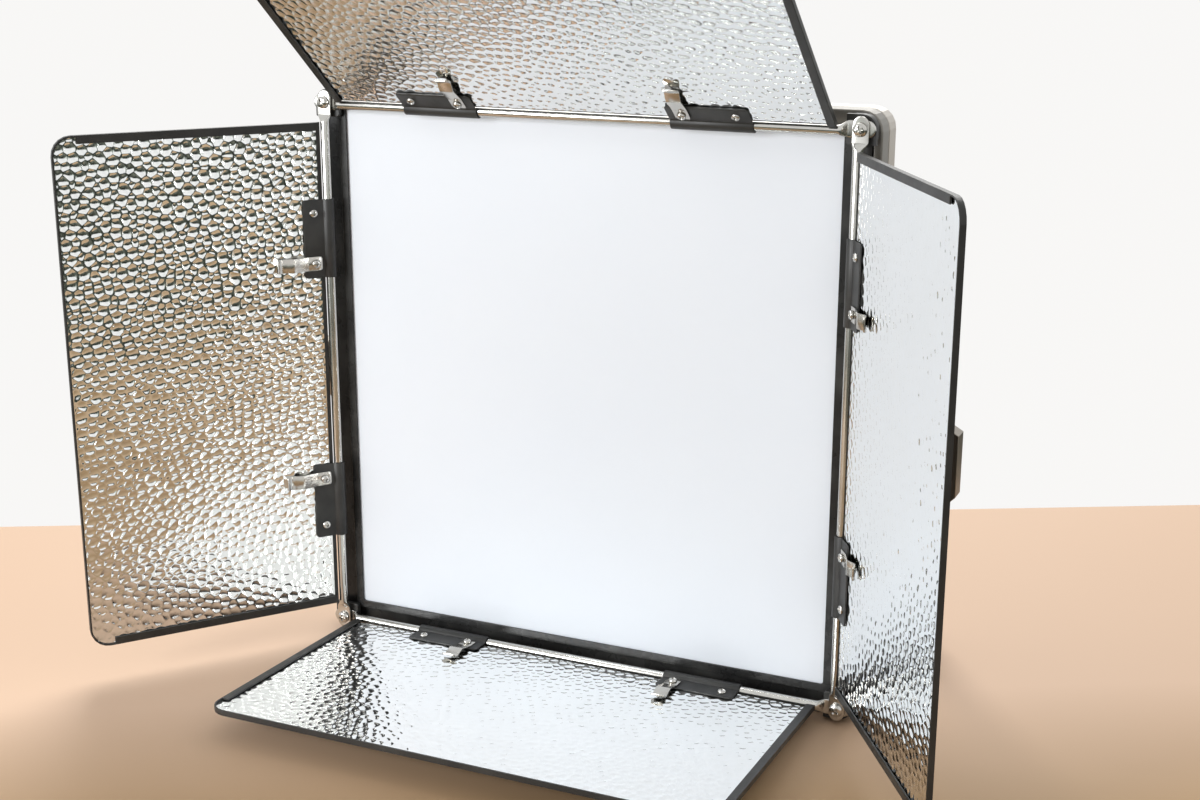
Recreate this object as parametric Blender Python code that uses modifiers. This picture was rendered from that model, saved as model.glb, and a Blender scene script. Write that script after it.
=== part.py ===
"""Square soft LED panel light: four mirror-lined barn doors on rods, a two-shell housing and a tilting yoke.

Metres, +Z up, the light shines toward -Y. The origin is the middle of the front shell's bottom face, where the
housing stands on a table. Every door is built once, lying along +Y from its rod, and placed four times.
"""
import math

import bmesh
import bpy
from mathutils import Matrix, Vector

for old in list(bpy.data.objects):
    bpy.data.objects.remove(old, do_unlink=True)

# Clearances
FIT = 0.0003
SEAM = 0.0008
PAST = 0.002

# Front frame and what it holds
APERTURE_SIDE = 0.322
APERTURE_CORNER = 0.002
FRAME_BORDER = 0.015
FRAME_CORNER = 0.009
FRAME_SEAT = 0.003
LIP_WIDTH = 0.005
LIP_SHEET = 0.0012
LIP_RISE = 0.004
TOP_RISE = 0.0075
TOP_LIP = 0.0027
TOP_LAP = 0.0013
TOP_FLANGE = 0.001
FLANGE_RISE = 0.001
LEDGE_WIDTH = 0.008
LEDGE_SHEET = 0.002
DIFFUSER_LAP = 0.0025
DIFFUSER_SHEET = 0.003
CHAMBER_DEPTH = 0.0162
CHAMBER_WALL = 0.004
BOARD_SHEET = 0.0016

# Housing
HOUSING_RIM = 0.0055
HOUSING_CORNER = 0.012
SHELL_WALL = 0.0022
FRONT_SHELL_DEPTH = 0.014
REAR_STRAIGHT = 0.0132
REAR_TAPER = 0.031
BACK_INSET = 0.0315

# Rods and corners
ROD_OUTSET = 0.0102
ROD_DIAMETER = 0.006
ROD_STANDOFF = 0.012
PADDLE_SHEET = 0.0016
PADDLE_WIDTH = 0.0095
PADDLE_SETBACK = 0.001
SCREW_OUTSET = 0.0008
NECK_START = 0.0112
NECK_END = 0.0058
UPRIGHT_PADDLE_END = 0.0072
LEVEL_PADDLE_END = 0.0080
CORNER_SCREW = 0.004
CORNER_HEAD = 0.008
CORNER_HEAD_RISE = 0.0024
CORNER_BLOCK = 0.017
CORNER_BLOCK_RADIUS = 0.008
CORNER_BLOCK_EDGE = 0.0015

# Barn doors, and the angle each one stands open at: 0 is flat with the panel, 90 is straight ahead
DOOR_END = 0.0112
DOOR_REACH = 0.1675
DOOR_CORNER = 0.012
LEAF_START = 0.0034
LEAF_SHEET = 0.001
HEM_WIDTH = 0.005
HEM_START = 0.0044
HEM_STOP = 0.015
MIRROR_START = 0.0064
MIRROR_SHEET = 0.0008
MIRROR_LEVEL = 0.0004
REST_TOP = 50.1
REST_RIGHT = 57.3
REST_BOTTOM = 92.2
REST_LEFT = 52.8

# Hinge brackets and gel clips
STRIP = 0.0008
BRACKET_LENGTH = 0.050
BRACKET_END = 0.048
BRACKET_REACH = 0.0172
BRACKET_BEND = 0.0012
ROLL_TURN = 250.0
SCREW_REACH = 0.0105
CLIP_SCREW_IN = 0.0095
FREE_SCREW_IN = 0.0415
SMALL_SCREW = 0.003
SMALL_HEAD = 0.0055
SMALL_HEAD_RISE = 0.0018
SMALL_NUT_RISE = 0.0024
CLIP_WIDTH = 0.009
CLIP_SHEET = 0.0007
CLIP_TAIL = 0.0042
CLIP_HUMP = 0.0019
CLIP_DIP = 0.0004

# Control panel; the things on it keep their share of its width
PANEL_WIDTH = 0.230
PANEL_HEIGHT = 0.056
PANEL_EDGE = 0.0105
PANEL_SHEET = 0.002
PANEL_LAP = 0.008
PANEL_CORNER = 0.004
INLET_PLACE = -0.404 * PANEL_WIDTH
SWITCH_PLACE = -0.278 * PANEL_WIDTH
KNOB_PLACE = 0.165 * PANEL_WIDTH
SOCKET_PLACES = (0.278 * PANEL_WIDTH, 0.409 * PANEL_WIDTH)
DISPLAY_WIDTH = 0.191 * PANEL_WIDTH
DISPLAY_HEIGHT = 0.018
DISPLAY_SHEET = 0.0012
KNOB_DIAMETER = 0.020
KNOB_RISE = 0.014
KNOB_SHAFT = 0.006
SWITCH_WIDTH = 0.012
SWITCH_HEIGHT = 0.0195
SWITCH_TILT = 8.0
SWITCH_ROOM = 0.0009
INLET_WIDTH = 0.027
INLET_HEIGHT = 0.019
INLET_DEPTH = 0.016
INLET_WALL = 0.0013
INLET_BLADE = 0.0085
FLANGE_SHEET = 0.002
FLANGE_LAP = 0.002
SOCKET_DIAMETER = 0.019
SOCKET_DEPTH = 0.007
SOCKET_FLANGE = 0.026

# Heat sink and driver box
SINK_EDGE = 0.0205
SINK_GAP = 0.015
SINK_BASE = 0.007
SINK_SIDE_INSET = 0.010
FIN_INSET = 0.00675
FIN_PITCH = 0.0055
FIN_SHEET = 0.0020
FIN_PROUD = 0.006
DRIVER_HEIGHT = 0.050
DRIVER_DEPTH = 0.028
DRIVER_SPILL = 0.005

# Yoke, pivots and tilt levers
PIVOT_BACK = 0.011
PIVOT_STUD = 0.010
BOSS_DIAMETER = 0.020
BOSS_RISE = 0.006
WASHER_SHEET = 0.001
YOKE_SHEET = 0.005
YOKE_WIDTH = 0.030
YOKE_ROOM = 0.0235
YOKE_BEND = 0.014
YOKE_HOLE = 0.0105
LEVER_HUB = 0.018
LEVER_HUB_RISE = 0.014
LEVER_THICK = 0.012
LEVER_OUT = 0.036
LEVER_DROP = 0.041
LEVER_GRIP = 0.008

# Levels and middles worked out from the sizes above
FRAME_SIDE = APERTURE_SIDE + 2 * FRAME_BORDER
HOUSING_SIDE = FRAME_SIDE + 2 * HOUSING_RIM
HALF = HOUSING_SIDE / 2
BACK_SIDE = HOUSING_SIDE - 2 * BACK_INSET
ROD_SPAN = APERTURE_SIDE + 2 * ROD_OUTSET
DOOR_LENGTH = ROD_SPAN - 2 * DOOR_END
BRACKET_INNER = DOOR_LENGTH / 2 - BRACKET_END - BRACKET_LENGTH
FRONT_FACE = -FRONT_SHELL_DEPTH / 2
SHELL_END = FRONT_SHELL_DEPTH / 2
REAR_FRONT = SHELL_END + SEAM
TAPER_START = REAR_FRONT + REAR_STRAIGHT
BACK_FACE = TAPER_START + REAR_TAPER
LIP_FRONT = FRONT_FACE - LIP_RISE
FLANGE_FRONT = FRONT_FACE - FLANGE_RISE
FLANGE_BACK = FRONT_FACE + FRAME_SEAT
LEDGE_FRONT = FLANGE_BACK + FIT
DIFFUSER_SIDE = APERTURE_SIDE + 2 * DIFFUSER_LAP
LIP_SIDE = APERTURE_SIDE + 2 * LIP_WIDTH
LIP_LIFT = TOP_RISE + TOP_LIP - LIP_WIDTH
FLANGE_LIFT = TOP_RISE + TOP_LIP + TOP_FLANGE - FRAME_BORDER
DIFFUSER_LIFT = TOP_RISE + TOP_LAP - DIFFUSER_LAP
DIFFUSER_FRONT = LIP_FRONT + LIP_SHEET + FIT
CHAMBER_FRONT = DIFFUSER_FRONT + DIFFUSER_SHEET + FIT
BOARD_FRONT = CHAMBER_FRONT + CHAMBER_DEPTH + FIT
SINK_FRONT = BOARD_FRONT + BOARD_SHEET + FIT
PANEL_FRONT = BACK_FACE + FIT
PANEL_BACK = PANEL_FRONT + PANEL_SHEET
PANEL_LOW = BACK_INSET + PANEL_EDGE
PANEL_HIGH = PANEL_LOW + PANEL_HEIGHT
PANEL_MIDDLE = (PANEL_LOW + PANEL_HIGH) / 2
SINK_LOW = PANEL_HIGH + SINK_GAP
SINK_HIGH = HOUSING_SIDE - BACK_INSET - SINK_EDGE
SINK_WIDTH = BACK_SIDE - 2 * SINK_SIDE_INSET
FIN_SPREAD = PANEL_WIDTH - 2 * FIN_INSET
ROD_RADIUS = ROD_DIAMETER / 2
ROD_Y = FRONT_FACE - ROD_STANDOFF
SCREW_OUT = ROD_SPAN / 2 + SCREW_OUTSET
UPRIGHT_PADDLE_Y = ROD_Y + PADDLE_SETBACK
LEVEL_PADDLE_Y = UPRIGHT_PADDLE_Y + PADDLE_SHEET + FIT
BLOCK_FRONT = LEVEL_PADDLE_Y + PADDLE_SHEET / 2 + FIT
MIRROR_TOP = MIRROR_LEVEL
STRIP_LOW = MIRROR_TOP + FIT
STRIP_TOP = STRIP_LOW + STRIP
MIRROR_LOW = MIRROR_TOP - MIRROR_SHEET
LEAF_FLOOR = MIRROR_LOW - FIT
LEAF_BACK = LEAF_FLOOR - LEAF_SHEET
HEM_LOW = MIRROR_TOP + FIT
HEM_TOP = HEM_LOW + LEAF_SHEET
CLIP_LOW = STRIP_TOP + FIT
CLIP_HEAD_LOW = CLIP_LOW + CLIP_SHEET + FIT
ARM_IN = HALF + FIT + BOSS_RISE + FIT + WASHER_SHEET + FIT
ARM_OUT = ARM_IN + YOKE_SHEET
PIVOT = Vector((0, PIVOT_BACK, HALF))
YOKE_DROP = HALF + YOKE_ROOM
FOOT_REACH = math.hypot(YOKE_DROP, YOKE_WIDTH / 2)
YOKE_LEAN = math.acos((HALF - FIT / 10) / FOOT_REACH) + math.atan2(YOKE_WIDTH / 2, YOKE_DROP)

parts = bpy.data.collections.new("led_panel_light")
bpy.context.scene.collection.children.link(parts)


def material(name, colour, roughness, metallic):
    """A plain surface for one kind of piece."""
    made = bpy.data.materials.new(name)
    made.use_nodes = True
    shader = made.node_tree.nodes["Principled BSDF"]
    shader.inputs["Base Color"].default_value = (*colour, 1)
    shader.inputs["Roughness"].default_value = roughness
    shader.inputs["Metallic"].default_value = metallic
    made.diffuse_color = (*colour, 1)
    return made


HOUSING_GREY = material("housing_grey", (0.30, 0.28, 0.24), 0.45, 0.4)
BLACK_COAT = material("black_coat", (0.025, 0.025, 0.024), 0.5, 0.0)
FRAME_BLACK = material("frame_black", (0.03, 0.03, 0.03), 0.35, 0.0)
SOFT_WHITE = material("soft_white", (0.80, 0.83, 0.88), 0.6, 0.0)
CHAMBER_WHITE = material("chamber_white", (0.85, 0.85, 0.85), 0.7, 0.0)
BRIGHT_STEEL = material("bright_steel", (0.75, 0.75, 0.75), 0.12, 1.0)
HAMMERED_MIRROR = material("hammered_mirror", (0.85, 0.85, 0.86), 0.15, 1.0)
BARE_ALUMINIUM = material("bare_aluminium", (0.45, 0.45, 0.46), 0.4, 1.0)
SATIN_METAL = material("satin_metal", (0.35, 0.32, 0.29), 0.35, 1.0)
BOARD_WHITE = material("board_white", (0.70, 0.72, 0.70), 0.5, 0.0)
BLACK_PLASTIC = material("black_plastic", (0.02, 0.02, 0.02), 0.4, 0.0)
DISPLAY_GLASS = material("display_glass", (0.01, 0.02, 0.03), 0.08, 0.0)
WASHER_NYLON = material("washer_nylon", (0.55, 0.54, 0.50), 0.5, 0.0)


def holder(name, parent, location, rotation):
    """An empty that carries a joint axis."""
    made = bpy.data.objects.new(name, None)
    made.parent = parent
    made.location = location
    made.rotation_euler = rotation
    parts.objects.link(made)
    return made


def part(name, mesh, surface, parent=None, location=(0, 0, 0), rotation=(0, 0, 0)):
    """One named piece of the light."""
    made = bpy.data.objects.new(name, mesh.copy())
    made.data.materials.clear()
    made.data.materials.append(surface)
    made.parent = parent
    made.location = location
    made.rotation_euler = rotation
    parts.objects.link(made)
    return made


def evaluated(carrier):
    """The mesh of an object with its modifiers, welded, its flat faces merged; the object goes away."""
    bpy.context.scene.collection.objects.link(carrier)
    depsgraph = bpy.context.evaluated_depsgraph_get()
    mesh = bpy.data.meshes.new_from_object(carrier.evaluated_get(depsgraph))
    bpy.data.objects.remove(carrier)
    shape = bmesh.new()
    shape.from_mesh(mesh)
    bmesh.ops.remove_doubles(shape, verts=shape.verts, dist=1e-7)
    bmesh.ops.dissolve_limit(shape, angle_limit=0.002, verts=shape.verts, edges=shape.edges)
    bmesh.ops.recalc_face_normals(shape, faces=shape.faces)
    shape.to_mesh(mesh)
    shape.free()
    return mesh


def joined(first, second, operation):
    """Two meshes put together by an exact Boolean."""
    tool = bpy.data.objects.new("tool", second)
    bpy.context.scene.collection.objects.link(tool)
    carrier = bpy.data.objects.new("carrier", first)
    step = carrier.modifiers.new("boolean", "BOOLEAN")
    step.operation = operation
    step.solver = "EXACT"
    step.object = tool
    mesh = evaluated(carrier)
    bpy.data.objects.remove(tool)
    return mesh


def cut(mesh, *tools):
    """A mesh with the tools taken out of it."""
    for tool in tools:
        mesh = joined(mesh, tool, "DIFFERENCE")
    return mesh


def united(mesh, *others):
    """One body out of several meshes that overlap."""
    for other in others:
        mesh = joined(mesh, other, "UNION")
    return mesh


def moved(mesh, matrix):
    """A mesh carried by a matrix."""
    mesh.transform(matrix)
    return mesh


def plate(outlines, low, high):
    """Flat sheet between two levels of Z: the first outline is its edge, the others are holes."""
    curve = bpy.data.curves.new("outline", "CURVE")
    curve.dimensions = "2D"
    curve.fill_mode = "BOTH"
    curve.extrude = (high - low) / 2
    for outline in outlines:
        spline = curve.splines.new("POLY")
        spline.points.add(len(outline) - 1)
        for point, (x, y) in zip(spline.points, outline):
            point.co = (x, y, 0, 1)
        spline.use_cyclic_u = True
    mesh = evaluated(bpy.data.objects.new("outline", curve))
    return moved(mesh, Matrix.Translation((0, 0, (low + high) / 2)))


UPRIGHT = Matrix.Rotation(math.radians(90), 4, "X")


def facing(outlines, front, back):
    """A sheet in the panel's plane, outlines in X and Z about the panel's middle, between two levels of Y."""
    mesh = plate(outlines, -back, -front)
    return moved(mesh, Matrix.Translation((0, 0, HALF)) @ UPRIGHT)


def block(low, high):
    """A box between two corners."""
    low = Vector(low)
    high = Vector(high)
    shape = bmesh.new()
    size = Matrix.Diagonal((*(high - low), 1))
    bmesh.ops.create_cube(shape, size=1, matrix=Matrix.Translation((low + high) / 2) @ size)
    mesh = bpy.data.meshes.new("block")
    shape.to_mesh(mesh)
    shape.free()
    return mesh


TURNS = {"X": Matrix.Rotation(math.radians(90), 4, "Y"), "Y": Matrix.Rotation(math.radians(-90), 4, "X"),
         "Z": Matrix.Identity(4)}
SIDEWAYS = Matrix(((0, 0, 1, 0), (1, 0, 0, 0), (0, 1, 0, 0), (0, 0, 0, 1)))


def drum(diameter, low, high, axis="Z", centre=(0, 0, 0), sides=16):
    """A round bar along one axis, between two distances from its centre."""
    shape = bmesh.new()
    place = Matrix.Translation(centre) @ TURNS[axis] @ Matrix.Translation((0, 0, (low + high) / 2))
    bmesh.ops.create_cone(shape, cap_ends=True, segments=sides, radius1=diameter / 2, radius2=diameter / 2,
                          depth=high - low, matrix=place)
    mesh = bpy.data.meshes.new("drum")
    shape.to_mesh(mesh)
    shape.free()
    return mesh


def turned(profile, axis="Z", centre=(0, 0, 0), sides=24):
    """A lathe shape: radius and height pairs from the top of the axis, down the outer side, back to the axis."""
    mesh = bpy.data.meshes.new("profile")
    mesh.from_pydata([(r, 0, h) for r, h in profile], [(i, i + 1) for i in range(len(profile) - 1)], [])
    carrier = bpy.data.objects.new("profile", mesh)
    step = carrier.modifiers.new("screw", "SCREW")
    step.axis = "Z"
    step.steps = sides
    step.render_steps = sides
    step.use_merge_vertices = True
    step.merge_threshold = 0.00001
    return moved(evaluated(carrier), Matrix.Translation(centre) @ TURNS[axis])


def circle(diameter, x=0, y=0, sides=16):
    """A round outline."""
    angles = [2 * math.pi * i / sides for i in range(sides)]
    return [(x + diameter / 2 * math.cos(a), y + diameter / 2 * math.sin(a)) for a in angles]


def rectangle(x0, x1, y0, y1, radii, steps=5):
    """A rectangle with a radius for each corner: low left, low right, high right, high left."""
    corners = [(x0, y0, 1, 1), (x1, y0, -1, 1), (x1, y1, -1, -1), (x0, y1, 1, -1)]
    points = []
    for number, ((x, y, inx, iny), radius) in enumerate(zip(corners, radii)):
        if not radius:
            points.append((x, y))
            continue
        for step in range(steps + 1):
            angle = math.radians(180 + 90 * number + 90 * step / steps)
            points.append((x + inx * radius + radius * math.cos(angle), y + iny * radius + radius * math.sin(angle)))
    return points


def square(side, radius):
    """A square outline about the middle."""
    return rectangle(-side / 2, side / 2, -side / 2, side / 2, [radius] * 4)


def strip(line, sheet):
    """The outline of a bent strip of even thickness that follows a line of points."""
    left, right = [], []
    for number, point in enumerate(line):
        before = Vector(line[max(number - 1, 0)])
        after = Vector(line[min(number + 1, len(line) - 1)])
        along = (after - before).normalized()
        side = Vector((-along.y, along.x)) * sheet / 2
        left.append(tuple(Vector(point) + side))
        right.append(tuple(Vector(point) - side))
    return left + right[::-1]


def loft(rings, ends):
    """Skin over rings of points; ends is "open" at the first ring, "capped", or "round" from last to first."""
    shape = bmesh.new()
    loops = [[shape.verts.new(point) for point in ring] for ring in rings]
    count = len(loops[0])
    if ends == "round":
        loops.append(loops[0])
    else:
        shape.faces.new(loops[-1])
    if ends == "capped":
        shape.faces.new(loops[0][::-1])
    for low, high in zip(loops, loops[1:]):
        for i in range(count):
            shape.faces.new((low[i], low[(i + 1) % count], high[(i + 1) % count], high[i]))
    bmesh.ops.recalc_face_normals(shape, faces=shape.faces)
    mesh = bpy.data.meshes.new("loft")
    shape.to_mesh(mesh)
    shape.free()
    return mesh


def lifted(outline, lift):
    """An outline in the panel's plane with its upper half moved up."""
    return [(x, z + lift * (z > 0)) for x, z in outline]


def square_rings(rows):
    """Rings in the panel's plane from rows of side, corner radius, level and how far the top edge is lifted."""
    return [[(x, level, z + HALF) for x, z in lifted(square(side, radius), lift)] for side, radius, level, lift in rows]


# Front shell: a ring with a seat for the front frame and a ledge behind it
inside = (HOUSING_SIDE - 2 * SHELL_WALL, HOUSING_CORNER - SHELL_WALL)
ledge = (FRAME_SIDE - 2 * LEDGE_WIDTH, FRAME_CORNER)
seat = (FRAME_SIDE + 2 * FIT, FRAME_CORNER + FIT)
outside = (HOUSING_SIDE, HOUSING_CORNER)
ledge_back = LEDGE_FRONT + LEDGE_SHEET
rows = [(*outside, FRONT_FACE, 0), (*outside, SHELL_END, 0), (*inside, SHELL_END, 0), (*inside, ledge_back, 0),
        (*ledge, ledge_back, 0), (*ledge, LEDGE_FRONT, 0), (*seat, LEDGE_FRONT, FLANGE_LIFT),
        (*seat, FRONT_FACE, FLANGE_LIFT)]
part("front_shell", loft(square_rings(rows), "round"), HOUSING_GREY)

# Rear shell: a tapered tray, open in front, with a window for the fins and one behind the control panel
rows = [(*outside, REAR_FRONT, 0), (*outside, TAPER_START, 0), (BACK_SIDE, HOUSING_CORNER, BACK_FACE, 0)]
tray = bpy.data.objects.new("tray", loft(square_rings(rows), "open"))
wall = tray.modifiers.new("wall", "SOLIDIFY")
wall.thickness = SHELL_WALL
wall.offset = -1
wall.use_even_offset = True
window_front = BACK_FACE - 2 * SHELL_WALL
window_back = BACK_FACE + PAST
fin_window = block((-FIN_SPREAD / 2 - FIT, window_front, SINK_LOW - FIT),
                   (FIN_SPREAD / 2 + FIT, window_back, SINK_HIGH + FIT))
panel_window = block((PANEL_LAP - PANEL_WIDTH / 2, window_front, PANEL_LOW + PANEL_LAP),
                     (PANEL_WIDTH / 2 - PANEL_LAP, window_back, PANEL_HIGH - PANEL_LAP))
part("rear_shell", cut(evaluated(tray), fin_window, panel_window), HOUSING_GREY)

# Front frame: a raised lip round the diffuser and a lower flange that drops into the front shell.
# Its top rail is narrow and sits high, behind the top rod.
flange = (FRAME_SIDE, FRAME_CORNER)
rebate = (DIFFUSER_SIDE + 2 * FIT, APERTURE_CORNER)
aperture = (APERTURE_SIDE, APERTURE_CORNER)
lip = (LIP_SIDE, APERTURE_CORNER)
lip_back = LIP_FRONT + LIP_SHEET
rows = [(*flange, FLANGE_FRONT, FLANGE_LIFT), (*flange, FLANGE_BACK, FLANGE_LIFT),
        (*rebate, FLANGE_BACK, DIFFUSER_LIFT), (*rebate, lip_back, DIFFUSER_LIFT), (*aperture, lip_back, TOP_RISE),
        (*aperture, LIP_FRONT, TOP_RISE), (*lip, LIP_FRONT, LIP_LIFT), (*lip, FLANGE_FRONT, LIP_LIFT)]
part("front_frame", loft(square_rings(rows), "round"), FRAME_BLACK)

# Diffuser, mixing chamber and board, one behind the other
diffuser_edge = square(DIFFUSER_SIDE, APERTURE_CORNER)
chamber_hole = square(DIFFUSER_SIDE - 2 * CHAMBER_WALL, APERTURE_CORNER)
part("diffuser", facing([lifted(diffuser_edge, DIFFUSER_LIFT)], DIFFUSER_FRONT, DIFFUSER_FRONT + DIFFUSER_SHEET),
     SOFT_WHITE)
part("mixing_chamber", facing([diffuser_edge, chamber_hole], CHAMBER_FRONT, CHAMBER_FRONT + CHAMBER_DEPTH),
     CHAMBER_WHITE)
part("led_board", facing([diffuser_edge], BOARD_FRONT, BOARD_FRONT + BOARD_SHEET), BOARD_WHITE)

# Heat sink: one comb-shaped extrusion, its fins standing out through the rear shell
fin_root = SINK_FRONT + SINK_BASE
fin_tip = BACK_FACE + FIN_PROUD
comb = [(SINK_WIDTH / 2, fin_root), (SINK_WIDTH / 2, SINK_FRONT), (-SINK_WIDTH / 2, SINK_FRONT),
        (-SINK_WIDTH / 2, fin_root)]
fin_count = round((FIN_SPREAD - FIN_SHEET) / FIN_PITCH) + 1
for number in range(fin_count):
    left = -FIN_SPREAD / 2 + (FIN_SPREAD - FIN_SHEET) * number / (fin_count - 1)
    comb += [(left, fin_root), (left, fin_tip), (left + FIN_SHEET, fin_tip), (left + FIN_SHEET, fin_root)]
part("heat_sink", plate([comb], SINK_LOW, SINK_HIGH), BARE_ALUMINIUM)

# Driver box, between the board and the control panel
driver_low = (SWITCH_PLACE + SWITCH_WIDTH / 3, SINK_FRONT, PANEL_MIDDLE - DRIVER_HEIGHT / 2)
driver_high = (PANEL_WIDTH / 2 + DRIVER_SPILL, SINK_FRONT + DRIVER_DEPTH, PANEL_MIDDLE + DRIVER_HEIGHT / 2)
part("driver_box", block(driver_low, driver_high), BARE_ALUMINIUM)

# Control panel with an opening for each thing that sits in it
panel_z = PANEL_MIDDLE - HALF
switch_half = Vector((SWITCH_WIDTH / 2 + FIT, SWITCH_HEIGHT / 2 + SWITCH_ROOM))
openings = [rectangle(-PANEL_WIDTH / 2, PANEL_WIDTH / 2, panel_z - PANEL_HEIGHT / 2, panel_z + PANEL_HEIGHT / 2,
                      [PANEL_CORNER] * 4)]
for side in (-1, 1):
    openings.append(circle(KNOB_SHAFT + 2 * FIT, side * KNOB_PLACE, panel_z, 12))
for place in SOCKET_PLACES:
    openings.append(circle(SOCKET_DIAMETER + 2 * FIT, place, panel_z, 20))
openings.append(rectangle(SWITCH_PLACE - switch_half.x, SWITCH_PLACE + switch_half.x, panel_z - switch_half.y,
                          panel_z + switch_half.y, [0] * 4))
openings.append(rectangle(INLET_PLACE - INLET_WIDTH / 2 - FIT, INLET_PLACE + INLET_WIDTH / 2 + FIT,
                          panel_z - INLET_HEIGHT / 2 - FIT, panel_z + INLET_HEIGHT / 2 + FIT, [0] * 4))
part("control_panel", facing(openings, PANEL_FRONT, PANEL_BACK), BLACK_PLASTIC)

# Knobs on their shafts
knob_low = PANEL_BACK + FIT
knob_profile = [(0, knob_low + KNOB_RISE), (KNOB_DIAMETER * 0.44, knob_low + KNOB_RISE),
                (KNOB_DIAMETER * 0.47, knob_low + KNOB_RISE * 0.93), (KNOB_DIAMETER / 2, knob_low),
                (KNOB_SHAFT / 2, knob_low), (KNOB_SHAFT / 2, PANEL_FRONT - SHELL_WALL), (0, PANEL_FRONT - SHELL_WALL)]
for name, side in (("dimmer_knob", -1), ("colour_knob", 1)):
    part(name, turned(knob_profile, "Y"), BLACK_PLASTIC, None, (side * KNOB_PLACE, 0, PANEL_MIDDLE))

# Rocker switch, resting with its upper half pressed in
rocker_half = SWITCH_HEIGHT / 2
rocker = [(0.0030, -rocker_half), (0.0018, 0), (0.0030, rocker_half), (-0.0015, rocker_half), (-0.0035, 0),
          (-0.0015, -rocker_half)]
part("power_switch", moved(plate([rocker], -SWITCH_WIDTH / 2, SWITCH_WIDTH / 2), SIDEWAYS), BLACK_PLASTIC, None,
     (SWITCH_PLACE, (PANEL_FRONT + PANEL_BACK) / 2, PANEL_MIDDLE), (math.radians(SWITCH_TILT), 0, 0))

# Power inlet: a flanged cup with three blades standing in it
cup_low = PANEL_BACK + FIT - INLET_DEPTH
cup_high = PANEL_BACK + FIT + FLANGE_SHEET
inlet_half = Vector((INLET_WIDTH / 2, 0, INLET_HEIGHT / 2))
lap = Vector((FLANGE_LAP, 0, FLANGE_LAP))
inlet_middle = Vector((INLET_PLACE, 0, PANEL_MIDDLE))
cup = block(inlet_middle - inlet_half + Vector((0, cup_low, 0)), inlet_middle + inlet_half + Vector((0, cup_high, 0)))
rim = block(inlet_middle - inlet_half - lap + Vector((0, PANEL_BACK + FIT, 0)),
            inlet_middle + inlet_half + lap + Vector((0, cup_high, 0)))
cup_wall = Vector((INLET_WALL, 0, INLET_WALL))
hollow = block(inlet_middle - inlet_half + cup_wall + Vector((0, cup_low + INLET_WALL, 0)),
               inlet_middle + inlet_half - cup_wall + Vector((0, cup_high + PAST, 0)))
inlet = cut(united(cup, rim), hollow)
for across, up in ((-0.007, -0.002), (0, 0.002), (0.007, -0.002)):
    root = inlet_middle + Vector((across, cup_low + INLET_WALL / 2, up))
    inlet = united(inlet, block(root - Vector((0.001, 0, 0.002)), root + Vector((0.001, INLET_BLADE, 0.002))))
part("power_inlet", inlet, BLACK_PLASTIC)

# Data sockets: a flanged drum with five pin holes
for number, place in enumerate(SOCKET_PLACES, 1):
    middle = (place, 0, PANEL_MIDDLE)
    half = SOCKET_FLANGE / 2
    body = drum(SOCKET_DIAMETER, PANEL_BACK - SOCKET_DEPTH, PANEL_BACK + FIT + FLANGE_SHEET / 2, "Y", middle, 20)
    outline = rectangle(place - half, place + half, panel_z - half, panel_z + half, [0.003] * 4, 3)
    flange = facing([outline], PANEL_BACK + FIT, PANEL_BACK + FIT + FLANGE_SHEET)
    socket = united(flange, body)
    for pin in range(5):
        angle = math.radians(90 + 60 * (pin - 2))
        spot = (place + 0.0055 * math.cos(angle), 0, PANEL_MIDDLE + 0.0055 * math.sin(angle))
        socket = cut(socket, drum(0.0024, PANEL_BACK - SOCKET_DEPTH / 2, PANEL_BACK + 0.01, "Y", spot, 8))
    part(f"data_socket_{number}", socket, BLACK_PLASTIC)

# Display window on the panel between the knobs
display = rectangle(-DISPLAY_WIDTH / 2, DISPLAY_WIDTH / 2, panel_z - DISPLAY_HEIGHT / 2, panel_z + DISPLAY_HEIGHT / 2,
                    [0.002] * 4, 3)
part("display_window", facing([display], PANEL_BACK + FIT, PANEL_BACK + FIT + DISPLAY_SHEET), DISPLAY_GLASS)


def rod_rings(paddle_y, paddle_end):
    """Rings along half a rod: round bar, neck, flat paddle and its rounded end."""
    half_width = PADDLE_WIDTH / 2
    setback = paddle_y - ROD_Y
    rows = [(ROD_SPAN / 2 - NECK_START, 0), (ROD_SPAN / 2 - (NECK_START + NECK_END) / 2, 0.5),
            (ROD_SPAN / 2 - NECK_END, 1)]
    rings = []
    for along, flat in rows:
        wide = ROD_RADIUS + (half_width - ROD_RADIUS) * flat
        thick = ROD_RADIUS + (PADDLE_SHEET / 2 - ROD_RADIUS) * flat
        rings.append((along, flat, wide, thick, setback * flat, SCREW_OUTSET * flat))
    for step in range(4):
        angle = math.radians(26 * step)
        along = SCREW_OUT + paddle_end - half_width * (1 - math.sin(angle))
        rings.append((along, 1, half_width * math.cos(angle), PADDLE_SHEET / 2, setback, SCREW_OUTSET))
    return rings


def rod(paddle_y, paddle_end, sides=12):
    """A rod along X through the origin, its paddles drilled for the corner screws; +Z is away from the panel."""
    half = rod_rings(paddle_y, paddle_end)
    rows = [(-along, *rest) for along, *rest in half[::-1]] + half
    rings = []
    for along, flat, wide, thick, back, out in rows:
        ring = []
        for number in range(sides):
            angle = 2 * math.pi * (number + 0.5) / sides
            through = math.copysign(abs(math.cos(angle)) ** (1 - 0.7 * flat), math.cos(angle))
            across = math.copysign(abs(math.sin(angle)) ** (1 - 0.4 * flat), math.sin(angle))
            ring.append((along, back + thick * through, out + wide * across))
        rings.append(ring)
    bar = loft(rings, "capped")
    back = paddle_y - ROD_Y
    for side in (-1, 1):
        spot = (side * SCREW_OUT, back, SCREW_OUTSET)
        bar = cut(bar, drum(CORNER_SCREW + 2 * FIT, -PADDLE_SHEET, PADDLE_SHEET, "Y", spot, 12))
    return bar


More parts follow.
